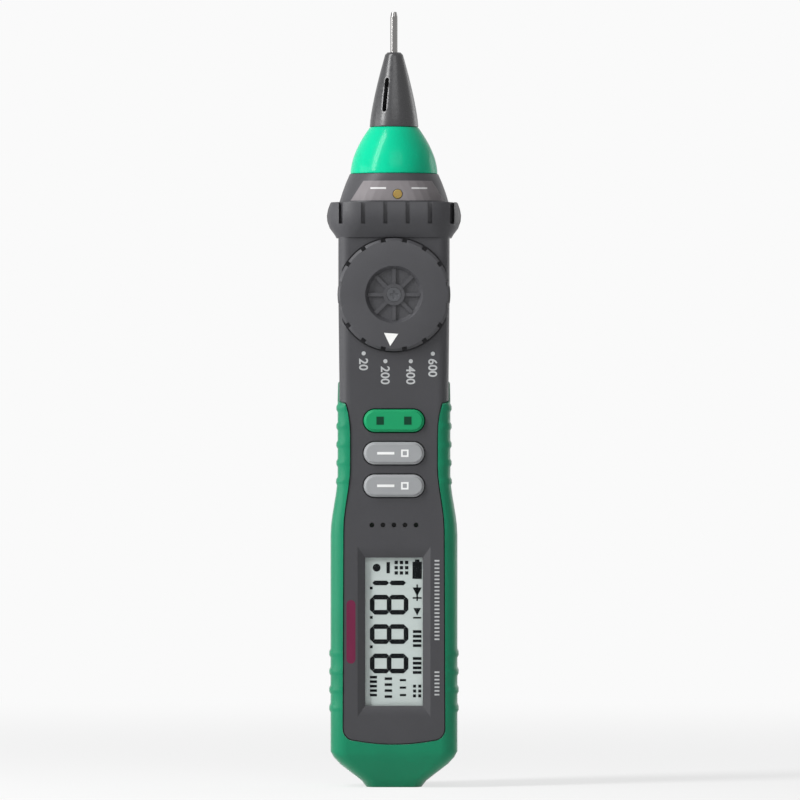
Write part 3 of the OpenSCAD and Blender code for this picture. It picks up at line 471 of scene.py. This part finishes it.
def tinted_acrylic(name):
    """Amber acrylic lens: a clear warm colour with depth."""
    return surface(
        name, linear("#A97E2C"), 0.12, grain=3, depth=0.002, mottle=0.04, IOR=1.49, Coat_Weight=0.6,
        Subsurface_Weight=0.3)


def solder_mask(name):
    """Solder mask on a glass fibre board: glossy green over copper tracks."""
    return surface(name, linear("#1C6B43"), 0.3, grain=0.8, depth=0.01, mottle=0.12, IOR=1.5)


def plain_label(name):
    """Printed plastic sleeve shrunk on a cell."""
    return surface(name, linear("#C08A2E"), 0.35, grain=2, depth=0.004, mottle=0.05, IOR=1.5)


# Mesh helpers
def dress(node, material, edge=None, angle=30):
    """Gives a CAD node its material and, where edge says, rounded edges and even shading."""
    piece = NODES[node]
    piece.data.materials.clear()
    piece.data.materials.append(material)
    if edge:
        round_edges(piece, edge, angle)
    return piece


def round_edges(piece, width, angle=30, segments=2):
    """Rounds every edge sharper than an angle in degrees, and shades flat faces flat."""
    weld = piece.modifiers.new("Weld", "WELD")
    weld.merge_threshold = WELD_REACH
    flat = piece.modifiers.new("Flatten", "DECIMATE")
    flat.decimate_type = "DISSOLVE"
    flat.angle_limit = math.radians(FLAT_ANGLE)
    bevel = piece.modifiers.new("Edge", "BEVEL")
    bevel.width = width
    bevel.segments = segments
    bevel.limit_method = "ANGLE"
    bevel.angle_limit = math.radians(angle)
    bevel.miter_outer = "MITER_ARC"
    bevel.harden_normals = False
    normals = piece.modifiers.new("Shading", "WEIGHTED_NORMAL")
    normals.keep_sharp = False
    normals.weight = SHADING_WEIGHT


def solid(name, points, faces, material, body):
    """A new piece from points in metres, riding on a body."""
    mesh = bpy.data.meshes.new(name)
    mesh.from_pydata([tuple(p) for p in points], [], faces)
    mesh.update()
    form = bmesh.new()
    form.from_mesh(mesh)
    bmesh.ops.recalc_face_normals(form, faces=form.faces)
    form.to_mesh(mesh)
    form.free()
    piece = bpy.data.objects.new(name, mesh)
    bpy.context.scene.collection.objects.link(piece)
    mesh.materials.append(material)
    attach(piece, body)
    return piece


def marks_on(node, name, outlines, material, body, cell=0.5 * MM):
    """Printed marks that lie on a CAD node's or another print's front, seen from the face.

    Each outline is a list of x and z. It is cut into cells, so that it follows a curved surface.
    """
    base = bpy.data.objects[node].data
    surface_tree = BVHTree.FromPolygons([v.co for v in base.vertices], [f.vertices for f in base.polygons])
    form = bmesh.new()
    for outline in outlines:
        form.faces.new([form.verts.new((x, 0, z)) for x, z in outline])
    bmesh.ops.remove_doubles(form, verts=form.verts, dist=0.001 * MM)
    bmesh.ops.triangulate(form, faces=form.faces)
    for cut in range(MARK_CUTS):
        long_edges = [e for e in form.edges if e.calc_length() > cell]
        if not long_edges:
            break
        bmesh.ops.subdivide_edges(form, edges=long_edges, cuts=1)
        bmesh.ops.triangulate(form, faces=form.faces)
    for point in form.verts:
        hit = surface_tree.ray_cast(Vector((point.co.x, CAD_LOW.y - MM, point.co.z)), Vector((0, 1, 0)))[0]
        if hit is None:
            raise RuntimeError(name + " reaches past " + node)
        point.co.y = hit.y - INK_PROUD
    form.normal_update()
    for face in form.faces:
        if face.normal.y > 0:
            face.normal_flip()
    sheet = bpy.data.meshes.new(name)
    form.to_mesh(sheet)
    form.free()
    piece = bpy.data.objects.new(name, sheet)
    bpy.context.scene.collection.objects.link(piece)
    sheet.materials.append(material)
    film = piece.modifiers.new("Film", "SOLIDIFY")
    film.thickness = 2 * INK_PROUD
    film.offset = -1
    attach(piece, body)
    return piece


def seam_tongue(side, name, material):
    """A thin strip behind one side seam of the neck, so that no light passes through it.

    It is guessed, as the lap that such shells have. The CAD shells meet at a plain gap.
    """
    shell = NODES["front_shell"].data
    wall = BVHTree.FromPolygons([v.co for v in shell.vertices], [f.vertices for f in shell.polygons])
    points = []
    for i in range(SEAM_STEPS + 1):
        z = SEAM_FOOT + (SEAM_TOP - SEAM_FOOT) * i / SEAM_STEPS
        inward = Vector((-side, 0, 0))
        outer = wall.ray_cast(Vector((side * 2 * CAD_HIGH.x, -SEAM_RISE, z)), inward)[0]
        inner = wall.ray_cast(outer + inward * SEAM_ROOM, inward)[0]
        near = inner.x - side * SEAM_ROOM
        far = near - side * SEAM_THICK
        points += [Vector((x, y, z)) for x, y in (
            (near, -SEAM_RISE), (near, SEAM_RISE), (far, SEAM_RISE), (far, -SEAM_RISE))]
    faces = [(0, 1, 2, 3), tuple(4 * SEAM_STEPS + k for k in (3, 2, 1, 0))]
    for i in range(SEAM_STEPS):
        faces += [(4 * i + k, 4 * i + (k + 1) % 4, 4 * i + 4 + (k + 1) % 4, 4 * i + 4 + k) for k in range(4)]
    piece = solid(name, points, faces, material, "housing")
    round_edges(piece, SEAM_THICK / 4)
    return piece


def disc(x, z, radius, steps=24):
    """Outline of a disc."""
    turn = 2 * math.pi / steps
    return [(x + radius * math.cos(i * turn), z + radius * math.sin(i * turn)) for i in range(steps)]


def bar(x, z, width, height):
    """Outline of a rectangle round a centre."""
    return [
        (x + sx * width / 2, z + sz * height / 2) for sx, sz in ((-1, -1), (1, -1), (1, 1), (-1, 1))]


def lettered(text, height, x, z):
    """Outlines of plain figures turned a quarter clockwise, centred on x and starting at z."""
    curve = bpy.data.curves.new("figures", "FONT")
    curve.body = text
    curve.size = height / CAP_SHARE
    curve.offset = FIGURE_WEIGHT
    curve.resolution_u = 4
    source = bpy.data.objects.new("figures", curve)
    mesh = bpy.data.meshes.new_from_object(source)
    outlines = [
        turned([mesh.vertices[i].co for i in face.vertices], x - height / 2, z) for face in mesh.polygons]
    bpy.data.objects.remove(source)
    bpy.data.curves.remove(curve)
    bpy.data.meshes.remove(mesh)
    return outlines


def ring_bars(x, z, size=2.0 * MM, stroke=0.45 * MM):
    """Outlines of the four bars of a small square frame round a centre."""
    reach = (size - stroke) / 2
    return [
        bar(x, z + reach, size, stroke),
        bar(x, z - reach, size, stroke),
        bar(x - reach, z, stroke, size - 2 * stroke),
        bar(x + reach, z, stroke, size - 2 * stroke),
    ]


def lit_front_halves(x, z, steps=12):
    """Outlines of the cowl's grey painted on its lit front, in two halves that leave a round hole for the
    lens; the dark shell left round them is painted shade.
    """
    halves = []
    for side in (-1, 1):
        arc = [
            (x + side * LIT_FRONT_HOLE * math.sin(turn), z - LIT_FRONT_HOLE * math.cos(turn))
            for turn in (i * math.pi / steps for i in range(steps + 1))
        ]
        halves.append([
            *arc, (x, LIT_FRONT_TOP), (x + side * LIT_FRONT_TOP_REACH, LIT_FRONT_TOP),
            (x + side * LIT_FRONT_FOOT_REACH, LIT_FRONT_FOOT), (x, LIT_FRONT_FOOT)])
    return halves


def rounded_bar(x, z, width, height, steps=8):
    """Outline of an upright bar with round ends."""
    radius, reach = width / 2, (height - width) / 2
    turns = [i * math.pi / steps for i in range(steps + 1)]
    top = [(x + radius * math.cos(turn), z + reach + radius * math.sin(turn)) for turn in turns]
    foot = [(x - radius * math.cos(turn), z - reach - radius * math.sin(turn)) for turn in turns]
    return top + foot


# The display's digits, lying on their side so that they read down the pen
SEGMENTS = {
    "0": "abcdef", "1": "bc", "2": "abged", "3": "abgcd", "4": "fgbc",
    "5": "afgcd", "6": "afgedc", "7": "abc", "8": "abcdefg", "9": "abcdfg",
}


def segment(x0, y0, x1, y1, thick):
    """Outline of one bar with pointed ends between two points."""
    along = Vector((x1 - x0, y1 - y0)).normalized()
    side = Vector((-along.y, along.x)) * thick / 2
    a, b = Vector((x0, y0)), Vector((x1, y1))
    tip = along * thick / 2
    return [a, a + tip + side, b - tip + side, b, b - tip - side, a + tip - side]


def digit(figure, width, height, thick):
    """Outlines of a seven-bar digit, upright, from its lower left corner."""
    gap = thick * 0.02
    w, h = width - thick, height - thick
    low, mid, top = thick / 2, height / 2, height - thick / 2
    left, right = thick / 2, thick / 2 + w
    bars = {
        "a": (left + gap, top, right - gap, top),
        "b": (right, mid + gap, right, top - gap),
        "c": (right, low + gap, right, mid - gap),
        "d": (left + gap, low, right - gap, low),
        "e": (left, low + gap, left, mid - gap),
        "f": (left, mid + gap, left, top - gap),
        "g": (left + gap, mid, right - gap, mid),
    }
    return [segment(*bars[name], thick) for name in SEGMENTS[figure]]


def turned(outline, x, z):
    """An upright outline turned a quarter clockwise, its lower left corner put at a place on the face."""
    return [(x + p[1], z - p[0]) for p in outline]


class PEN_OT_housing(bpy.types.Operator):
    """Finishes the two shells, the guard and the cowl, and paints the cowl's grey on its lit front, leaving
    painted shade at its sides and under the nose.
    """

    bl_idname = "pen.housing"
    bl_label = "Housing"

    def execute(self, context):
        look = context.scene.pen_housing
        shell = moulded_abs("abs_spark_eroded_dark_grey", look.shell)
        dress("front_shell", shell, look.edge, angle=SHELL_ANGLE)
        dress("rear_shell", shell, look.edge)
        dress("finger_guard", shell, look.edge * GUARD_EDGE_SHARE)
        dress("head_cowl", shell, look.edge)
        for side, name in ((-1, "seam_tongue_left"), (1, "seam_tongue_right")):
            seam_tongue(side, name, shell)
        lens = middle("indicator_lens")
        # The cowl's grey as pad ink, only across its lit front: the dark shell left at its sides and under
        # the nose is painted shade
        panel = pad_printed_ink("paint_grey_lit_front_of_cowl", look.cowl)
        marks_on("head_cowl", "cowl_lit_front_paint", lit_front_halves(lens.x, lens.z), panel, "housing")
        ink = pad_printed_ink("ink_pale_on_cowl", linear("#D2D2D2"))
        strokes = [
            bar(lens.x + x, lens.z + COWL_BARS_RISE, COWL_BAR_WIDTH, COWL_BAR_HEIGHT) for x in COWL_BARS_X]
        marks_on("cowl_lit_front_paint", "cowl_marks", strokes, ink, "housing")
        return {"FINISHED"}


class PEN_OT_jacket(bpy.types.Operator):
    """Finishes the soft jacket and the battery cover."""

    bl_idname = "pen.jacket"
    bl_label = "Jacket"

    def execute(self, context):
        look = context.scene.pen_housing
        rubber = moulded_tpe("tpe_overmoulded_green", look.jacket)
        dress("grip_jacket", rubber, look.edge)
        dress("battery_cover", rubber, look.edge)
        return {"FINISHED"}


class PEN_OT_probe(bpy.types.Operator):
    """Finishes the bright cone, the tip sleeve, the stem and the needle."""

    bl_idname = "pen.probe"
    bl_label = "Probe"

    def execute(self, context):
        look = context.scene.pen_housing
        dress("nose_cone", polished_polycarbonate("polycarbonate_polished_mint", look.nose), look.edge)
        black = surface(
            "polyamide_moulded_black", linear("#303032"), 0.3, grain=0.9, depth=0.002, mottle=0.04, IOR=1.53)
        dress("probe_sleeve", black, look.edge)
        dress("probe_holder", black)
        dress("probe_needle", nickel_plate("brass_nickel_plated"), look.edge)
        dress("probe_ferrule", turned_brass("brass_turned_ferrule"))
        dress("indicator_lens", tinted_acrylic("acrylic_amber"), look.edge)
        return {"FINISHED"}


class PEN_OT_dial(bpy.types.Operator):
    """Finishes the dial and prints its pointer."""

    bl_idname = "pen.dial"
    bl_label = "Dial"

    def execute(self, context):
        look = context.scene.pen_housing
        dress("function_dial", moulded_abs("abs_moulded_dial_grey", look.dial, roughness=0.4), look.edge)
        dress("dial_screw", blackened_steel("steel_blackened_dial_screw"), look.edge * SCREW_EDGE_SHARE)
        turn = math.radians(POINTER_ANGLE)
        middle_x, middle_z = DIAL_CENTRE.x, DIAL_CENTRE.z
        half = POINTER_WIDTH / 2
        corners = [(-half, -POINTER_BASE), (0, -POINTER_APEX), (half, -POINTER_BASE)]
        outline = [
            (
                middle_x + x * math.cos(turn) - z * math.sin(turn),
                middle_z + x * math.sin(turn) + z * math.cos(turn),
            )
            for x, z in corners
        ]
        ink = pad_printed_ink("ink_white_on_dial", linear("#F4F4F2"))
        marks_on("function_dial", "dial_pointer", [outline], ink, "dial")
        return {"FINISHED"}


class PEN_OT_buttons(bpy.types.Operator):
    """Finishes the three push buttons and prints a plain mark on each."""

    bl_idname = "pen.buttons"
    bl_label = "Buttons"

    def execute(self, context):
        look = context.scene.pen_housing
        green = silicone_rubber("silicone_moulded_green", look.key_green)
        grey = silicone_rubber("silicone_moulded_grey", look.key_grey)
        for node, material in (("hold_button", green), ("select_button", grey), ("range_button", grey)):
            dress(node, material, look.edge * BUTTON_EDGE_SHARE)
        dark = pad_printed_ink("ink_dark_on_green_button", linear("#073A27"))
        pale = pad_printed_ink("ink_white_on_grey_button", linear("#E9EAEA"))
        key = middle("hold_button")
        squares = [bar(key.x + x, key.z, SQUARE_WIDTH, SQUARE_HEIGHT) for x in SQUARES_X]
        marks_on("hold_button", "hold_marks", squares, dark, "hold_key")
        for node, body in (("select_button", "select_key"), ("range_button", "range_key")):
            key = middle(node)
            signs = [
                bar(key.x + BUTTON_BAR_X, key.z, BUTTON_BAR_WIDTH, BUTTON_BAR_HEIGHT),
                *ring_bars(key.x + BUTTON_FRAME_X, key.z),
            ]
            marks_on(node, node.replace("button", "marks"), signs, pale, body)
        return {"FINISHED"}


class PEN_OT_display(bpy.types.Operator):
    """Finishes the display and draws its reading and small signs."""

    bl_idname = "pen.display"
    bl_label = "Display"

    def execute(self, context):
        marks = context.scene.pen_marks
        dress("lcd_panel", polarising_film("lcd_polarising_film"))
        dress("display_window", clear_acrylic("acrylic_clear_window"))
        centre = middle("display_window")
        dark = liquid_crystal("lcd_switched_dark")
        figures = []
        for i, figure in enumerate(marks.reading):
            start = DIGIT_START + i * DIGIT_PITCH
            for outline in digit(figure, DIGIT_WIDTH, DIGIT_HEIGHT, DIGIT_STROKE):
                figures.append(turned(outline, centre.x + DIGIT_FOOT, centre.z - start))
            if i < len(marks.reading) - 1:
                figures.append(bar(
                    centre.x + DIGIT_FOOT + POINT_SIZE / 2,
                    centre.z - start - DIGIT_WIDTH - POINT_SIZE,
                    POINT_SIZE,
                    POINT_SIZE,
                ))
        marks_on("lcd_panel", "display_figures", figures, dark, "housing", cell=3 * MM)
        signs = []
        for x, down, width, height in DISPLAY_SIGNS:
            signs.append(bar(centre.x + x * MM, centre.z - down * MM, width * MM, height * MM))
        for x, down, size in DISPLAY_ARROWS:
            signs.append([(centre.x + (x + u * size) * MM, centre.z - (down + v * size) * MM)
                          for u, v in ((-0.5, -0.5), (0.5, -0.5), (0, 0.5))])
        signs.append(disc(centre.x + SIGN_DISC_X, centre.z + SIGN_DISC_RISE, SIGN_DISC_RADIUS))
        marks_on("lcd_panel", "display_signs", signs, dark, "housing", cell=3 * MM)
        return {"FINISHED"}


class PEN_OT_face_marks(bpy.types.Operator):
    """Prints the dots and figures at the dial's positions, and the plain bars beside the display."""

    bl_idname = "pen.face_marks"
    bl_label = "Face marks"

    def execute(self, context):
        marks = context.scene.pen_marks
        ink = pad_printed_ink("ink_light_grey_on_face", marks.ink)
        accent = pad_printed_ink("ink_muted_red_on_face", marks.accent)
        outlines = []
        for i, (x, down) in enumerate(POSITION_DOTS):
            dot_z = DIAL_CENTRE.z - down * MM
            outlines.append(disc(x * MM, dot_z, marks.dot_radius))
            outlines += lettered(POSITION_FIGURES[i], marks.figure_height, x * MM, dot_z - FIGURE_DROP)
        centre = middle("display_window")
        for start, count in TICK_GROUPS:
            for i in range(count):
                tick_z = centre.z - start - i * TICK_PITCH
                outlines.append(bar(centre.x + TICK_X, tick_z, TICK_WIDTH, TICK_HEIGHT))
        marks_on("front_shell", "face_marks", outlines, ink, "housing", cell=2 * MM)
        stripe = rounded_bar(centre.x + ACCENT_X, centre.z, ACCENT_WIDTH, ACCENT_HEIGHT)
        marks_on("front_shell", "accent_bar", [stripe], accent, "housing", cell=2 * MM)
        return {"FINISHED"}


class PEN_OT_back(bpy.types.Operator):
    """Finishes the screws and the socket."""

    bl_idname = "pen.back"
    bl_label = "Screws and socket"

    def execute(self, context):
        steel = zinc_plated_steel("steel_zinc_plated")
        dress("case_screws", steel)
        dress("cover_screw", steel)
        dress("com_socket", turned_brass("brass_turned_socket"))
        dress("socket_shroud", moulded_abs("polyamide_moulded_shroud", linear("#202022")))
        return {"FINISHED"}


class PEN_OT_inside(bpy.types.Operator):
    """Gives every piece inside the housing its material."""

    bl_idname = "pen.inside"
    bl_label = "Inside"

    def execute(self, context):
        finishes = {
            solder_mask("solder_mask_green"): ("main_board",),
            moulded_abs("epoxy_moulded_black", linear("#1C1C1E"), roughness=0.3): (
                "meter_chip", "board_parts", "sounder", "battery_tray"),
            silicone_rubber("silicone_translucent", linear("#D8D8D4")): ("keypad_membrane", "zebra_strips"),
            moulded_abs("abs_moulded_white", linear("#E4E2DA")): (
                "lcd_frame", "dial_rotor", "indicator_led", "fuse"),
            turned_brass("brass_sprung_strip"): ("probe_contact", "dial_wipers", "socket_lead"),
            zinc_plated_steel("steel_sprung_wire"): (
                "detent_balls", "detent_springs", "fuse_clips", "battery_springs", "battery_contacts"),
            plain_label("sleeve_printed_cell"): ("battery_left", "battery_right"),
        }
        for material, nodes in finishes.items():
            for node in nodes:
                dress(node, material)
        return {"FINISHED"}


class PEN_OT_studio(bpy.types.Operator):
    """Makes the camera, the floor, the lamps and the pale background."""

    bl_idname = "pen.studio"
    bl_label = "Studio"

    def execute(self, context):
        look = context.scene.pen_studio
        scene = context.scene
        camera = bpy.data.cameras.new("camera")
        camera.sensor_width = 36
        frame_width = PHOTO_PIXELS * PIXEL_SIZE
        camera.lens = camera.sensor_width * look.camera_distance / frame_width
        camera.clip_end = 20
        eye = bpy.data.objects.new("camera", camera)
        scene.collection.objects.link(eye)
        eye.location = (
            (PHOTO_PIXELS / 2 - AXIS_COLUMN) * PIXEL_SIZE,
            -look.camera_distance,
            (TAIL_ROW - PHOTO_PIXELS / 2) * PIXEL_SIZE,
        )
        eye.rotation_euler = (math.pi / 2, 0, 0)
        scene.camera = eye

        bpy.ops.mesh.primitive_circle_add(radius=FLOOR_RADIUS, vertices=96, fill_type="NGON")
        floor = context.object
        floor.name = "floor"
        floor.data.materials.append(pale_floor("paper_matt_white"))

        lamps = (
            ("key_lamp", (-0.5, -0.33, 0.58), 0.16, 0.8, look.key_power),
            ("front_lamp", (0.1, -0.9, 0.75), 0.6, 0.5, look.front_power),
            ("left_lamp", (-0.95, -0.12, 0.08), 0.7, 0.7, look.left_power),
            ("rim_lamp", (0.9, 0.7, 0.12), 0.5, 0.8, look.rim_power),
        )
        for name, place, width, height, power in lamps:
            lamp = bpy.data.lights.new(name, "AREA")
            lamp.shape = "RECTANGLE"
            lamp.size = width
            lamp.size_y = height
            lamp.energy = power
            source = bpy.data.objects.new(name, lamp)
            scene.collection.objects.link(source)
            source.location = place
            source.rotation_euler = (LAMP_AIM - source.location).to_track_quat("-Z", "Y").to_euler()
        pale_world(scene, look.ambient)
        scene.view_settings.view_transform = "Standard"
        return {"FINISHED"}


def seen_directly(tree):
    """1 for rays that the camera, a mirror or clear plastic sends to the background, otherwise 0."""
    path = add_node(tree, "ShaderNodeLightPath")
    total = add_node(tree, "ShaderNodeMath", operation="ADD", use_clamp=True)
    tree.links.new(path.outputs["Is Camera Ray"], total.inputs[0])
    both = add_node(tree, "ShaderNodeMath", operation="ADD", use_clamp=True)
    tree.links.new(path.outputs["Is Glossy Ray"], both.inputs[0])
    tree.links.new(path.outputs["Is Transmission Ray"], both.inputs[1])
    tree.links.new(both.outputs[0], total.inputs[1])
    return total.outputs[0]


def pale_world(scene, ambient):
    """A plain world: pale where it is seen, and a soft even light where it isn't."""
    world = bpy.data.worlds.new("pale_world")
    scene.world = world
    world.use_nodes = True
    tree = world.node_tree
    tree.nodes.clear()
    seen = add_node(tree, "ShaderNodeBackground", Strength=1.0)
    seen.inputs["Color"].default_value = linear("#FAFAFA")
    light = add_node(tree, "ShaderNodeBackground", Strength=ambient)
    mix = add_node(tree, "ShaderNodeMixShader", {"Fac": seen_directly(tree)})
    tree.links.new(light.outputs[0], mix.inputs[1])
    tree.links.new(seen.outputs[0], mix.inputs[2])
    add_node(tree, "ShaderNodeOutputWorld", {"Surface": mix.outputs[0]})


def pale_floor(name):
    """Matt white paper, lifted to the background's tone where it is seen, so that only the shadow shows."""
    material = bpy.data.materials.new(name)
    material.use_nodes = True
    tree = material.node_tree
    tree.nodes.clear()
    paper = add_node(tree, "ShaderNodeBsdfDiffuse", Color=linear("#F2F2F2"))
    glow = add_node(tree, "ShaderNodeEmission", Strength=1.0)
    glow.inputs["Color"].default_value = linear("#FAFAFA")
    place = add_node(tree, "ShaderNodeTexCoord").outputs["Object"]
    away = add_node(tree, "ShaderNodeVectorMath", {"Vector": place}, operation="LENGTH").outputs["Value"]
    fade = add_node(
        tree, "ShaderNodeMapRange", {"Value": away}, interpolation_type="SMOOTHSTEP",
        From_Min=FLOOR_NEAR, From_Max=FLOOR_FAR, To_Min=FLOOR_GLOW, To_Max=1.0)
    share = add_node(tree, "ShaderNodeMath", operation="MULTIPLY")
    tree.links.new(seen_directly(tree), share.inputs[0])
    tree.links.new(fade.outputs["Result"], share.inputs[1])
    mix = add_node(tree, "ShaderNodeMixShader", {"Fac": share.outputs[0]})
    tree.links.new(paper.outputs[0], mix.inputs[1])
    tree.links.new(glow.outputs[0], mix.inputs[2])
    add_node(tree, "ShaderNodeOutputMaterial", {"Surface": mix.outputs[0]})
    return material


class PEN_PT_panel(bpy.types.Panel):
    """Lists the steps that build the meter's looks."""

    bl_idname = "PEN_PT_panel"
    bl_label = "Pen Multimeter"
    bl_space_type = "VIEW_3D"
    bl_region_type = "UI"
    bl_category = "Pen Meter"

    def draw(self, context):
        for group in ("pen_housing", "pen_marks", "pen_studio"):
            box = self.layout.box()
            properties = getattr(context.scene, group)
            for name in properties.__annotations__:
                box.prop(properties, name)
        for operator in OPERATORS:
            self.layout.operator(operator.bl_idname)


OPERATORS = (
    PEN_OT_studio,
    PEN_OT_housing,
    PEN_OT_jacket,
    PEN_OT_probe,
    PEN_OT_dial,
    PEN_OT_buttons,
    PEN_OT_display,
    PEN_OT_face_marks,
    PEN_OT_back,
    PEN_OT_inside,
)
GROUPS = {"pen_housing": PEN_PG_housing, "pen_marks": PEN_PG_marks, "pen_studio": PEN_PG_studio}


def register():
    for kind in (*GROUPS.values(), *OPERATORS, PEN_PT_panel):
        bpy.utils.register_class(kind)
    for name, group in GROUPS.items():
        setattr(bpy.types.Scene, name, PointerProperty(type=group))


def unregister():
    for name in GROUPS:
        delattr(bpy.types.Scene, name)
    for kind in (PEN_PT_panel, *reversed(OPERATORS), *GROUPS.values()):
        bpy.utils.unregister_class(kind)


def main():
    register()
    for operator in OPERATORS:
        family, name = operator.bl_idname.split(".")
        getattr(getattr(bpy.ops, family), name)()


if __name__ == "__main__":
    main()
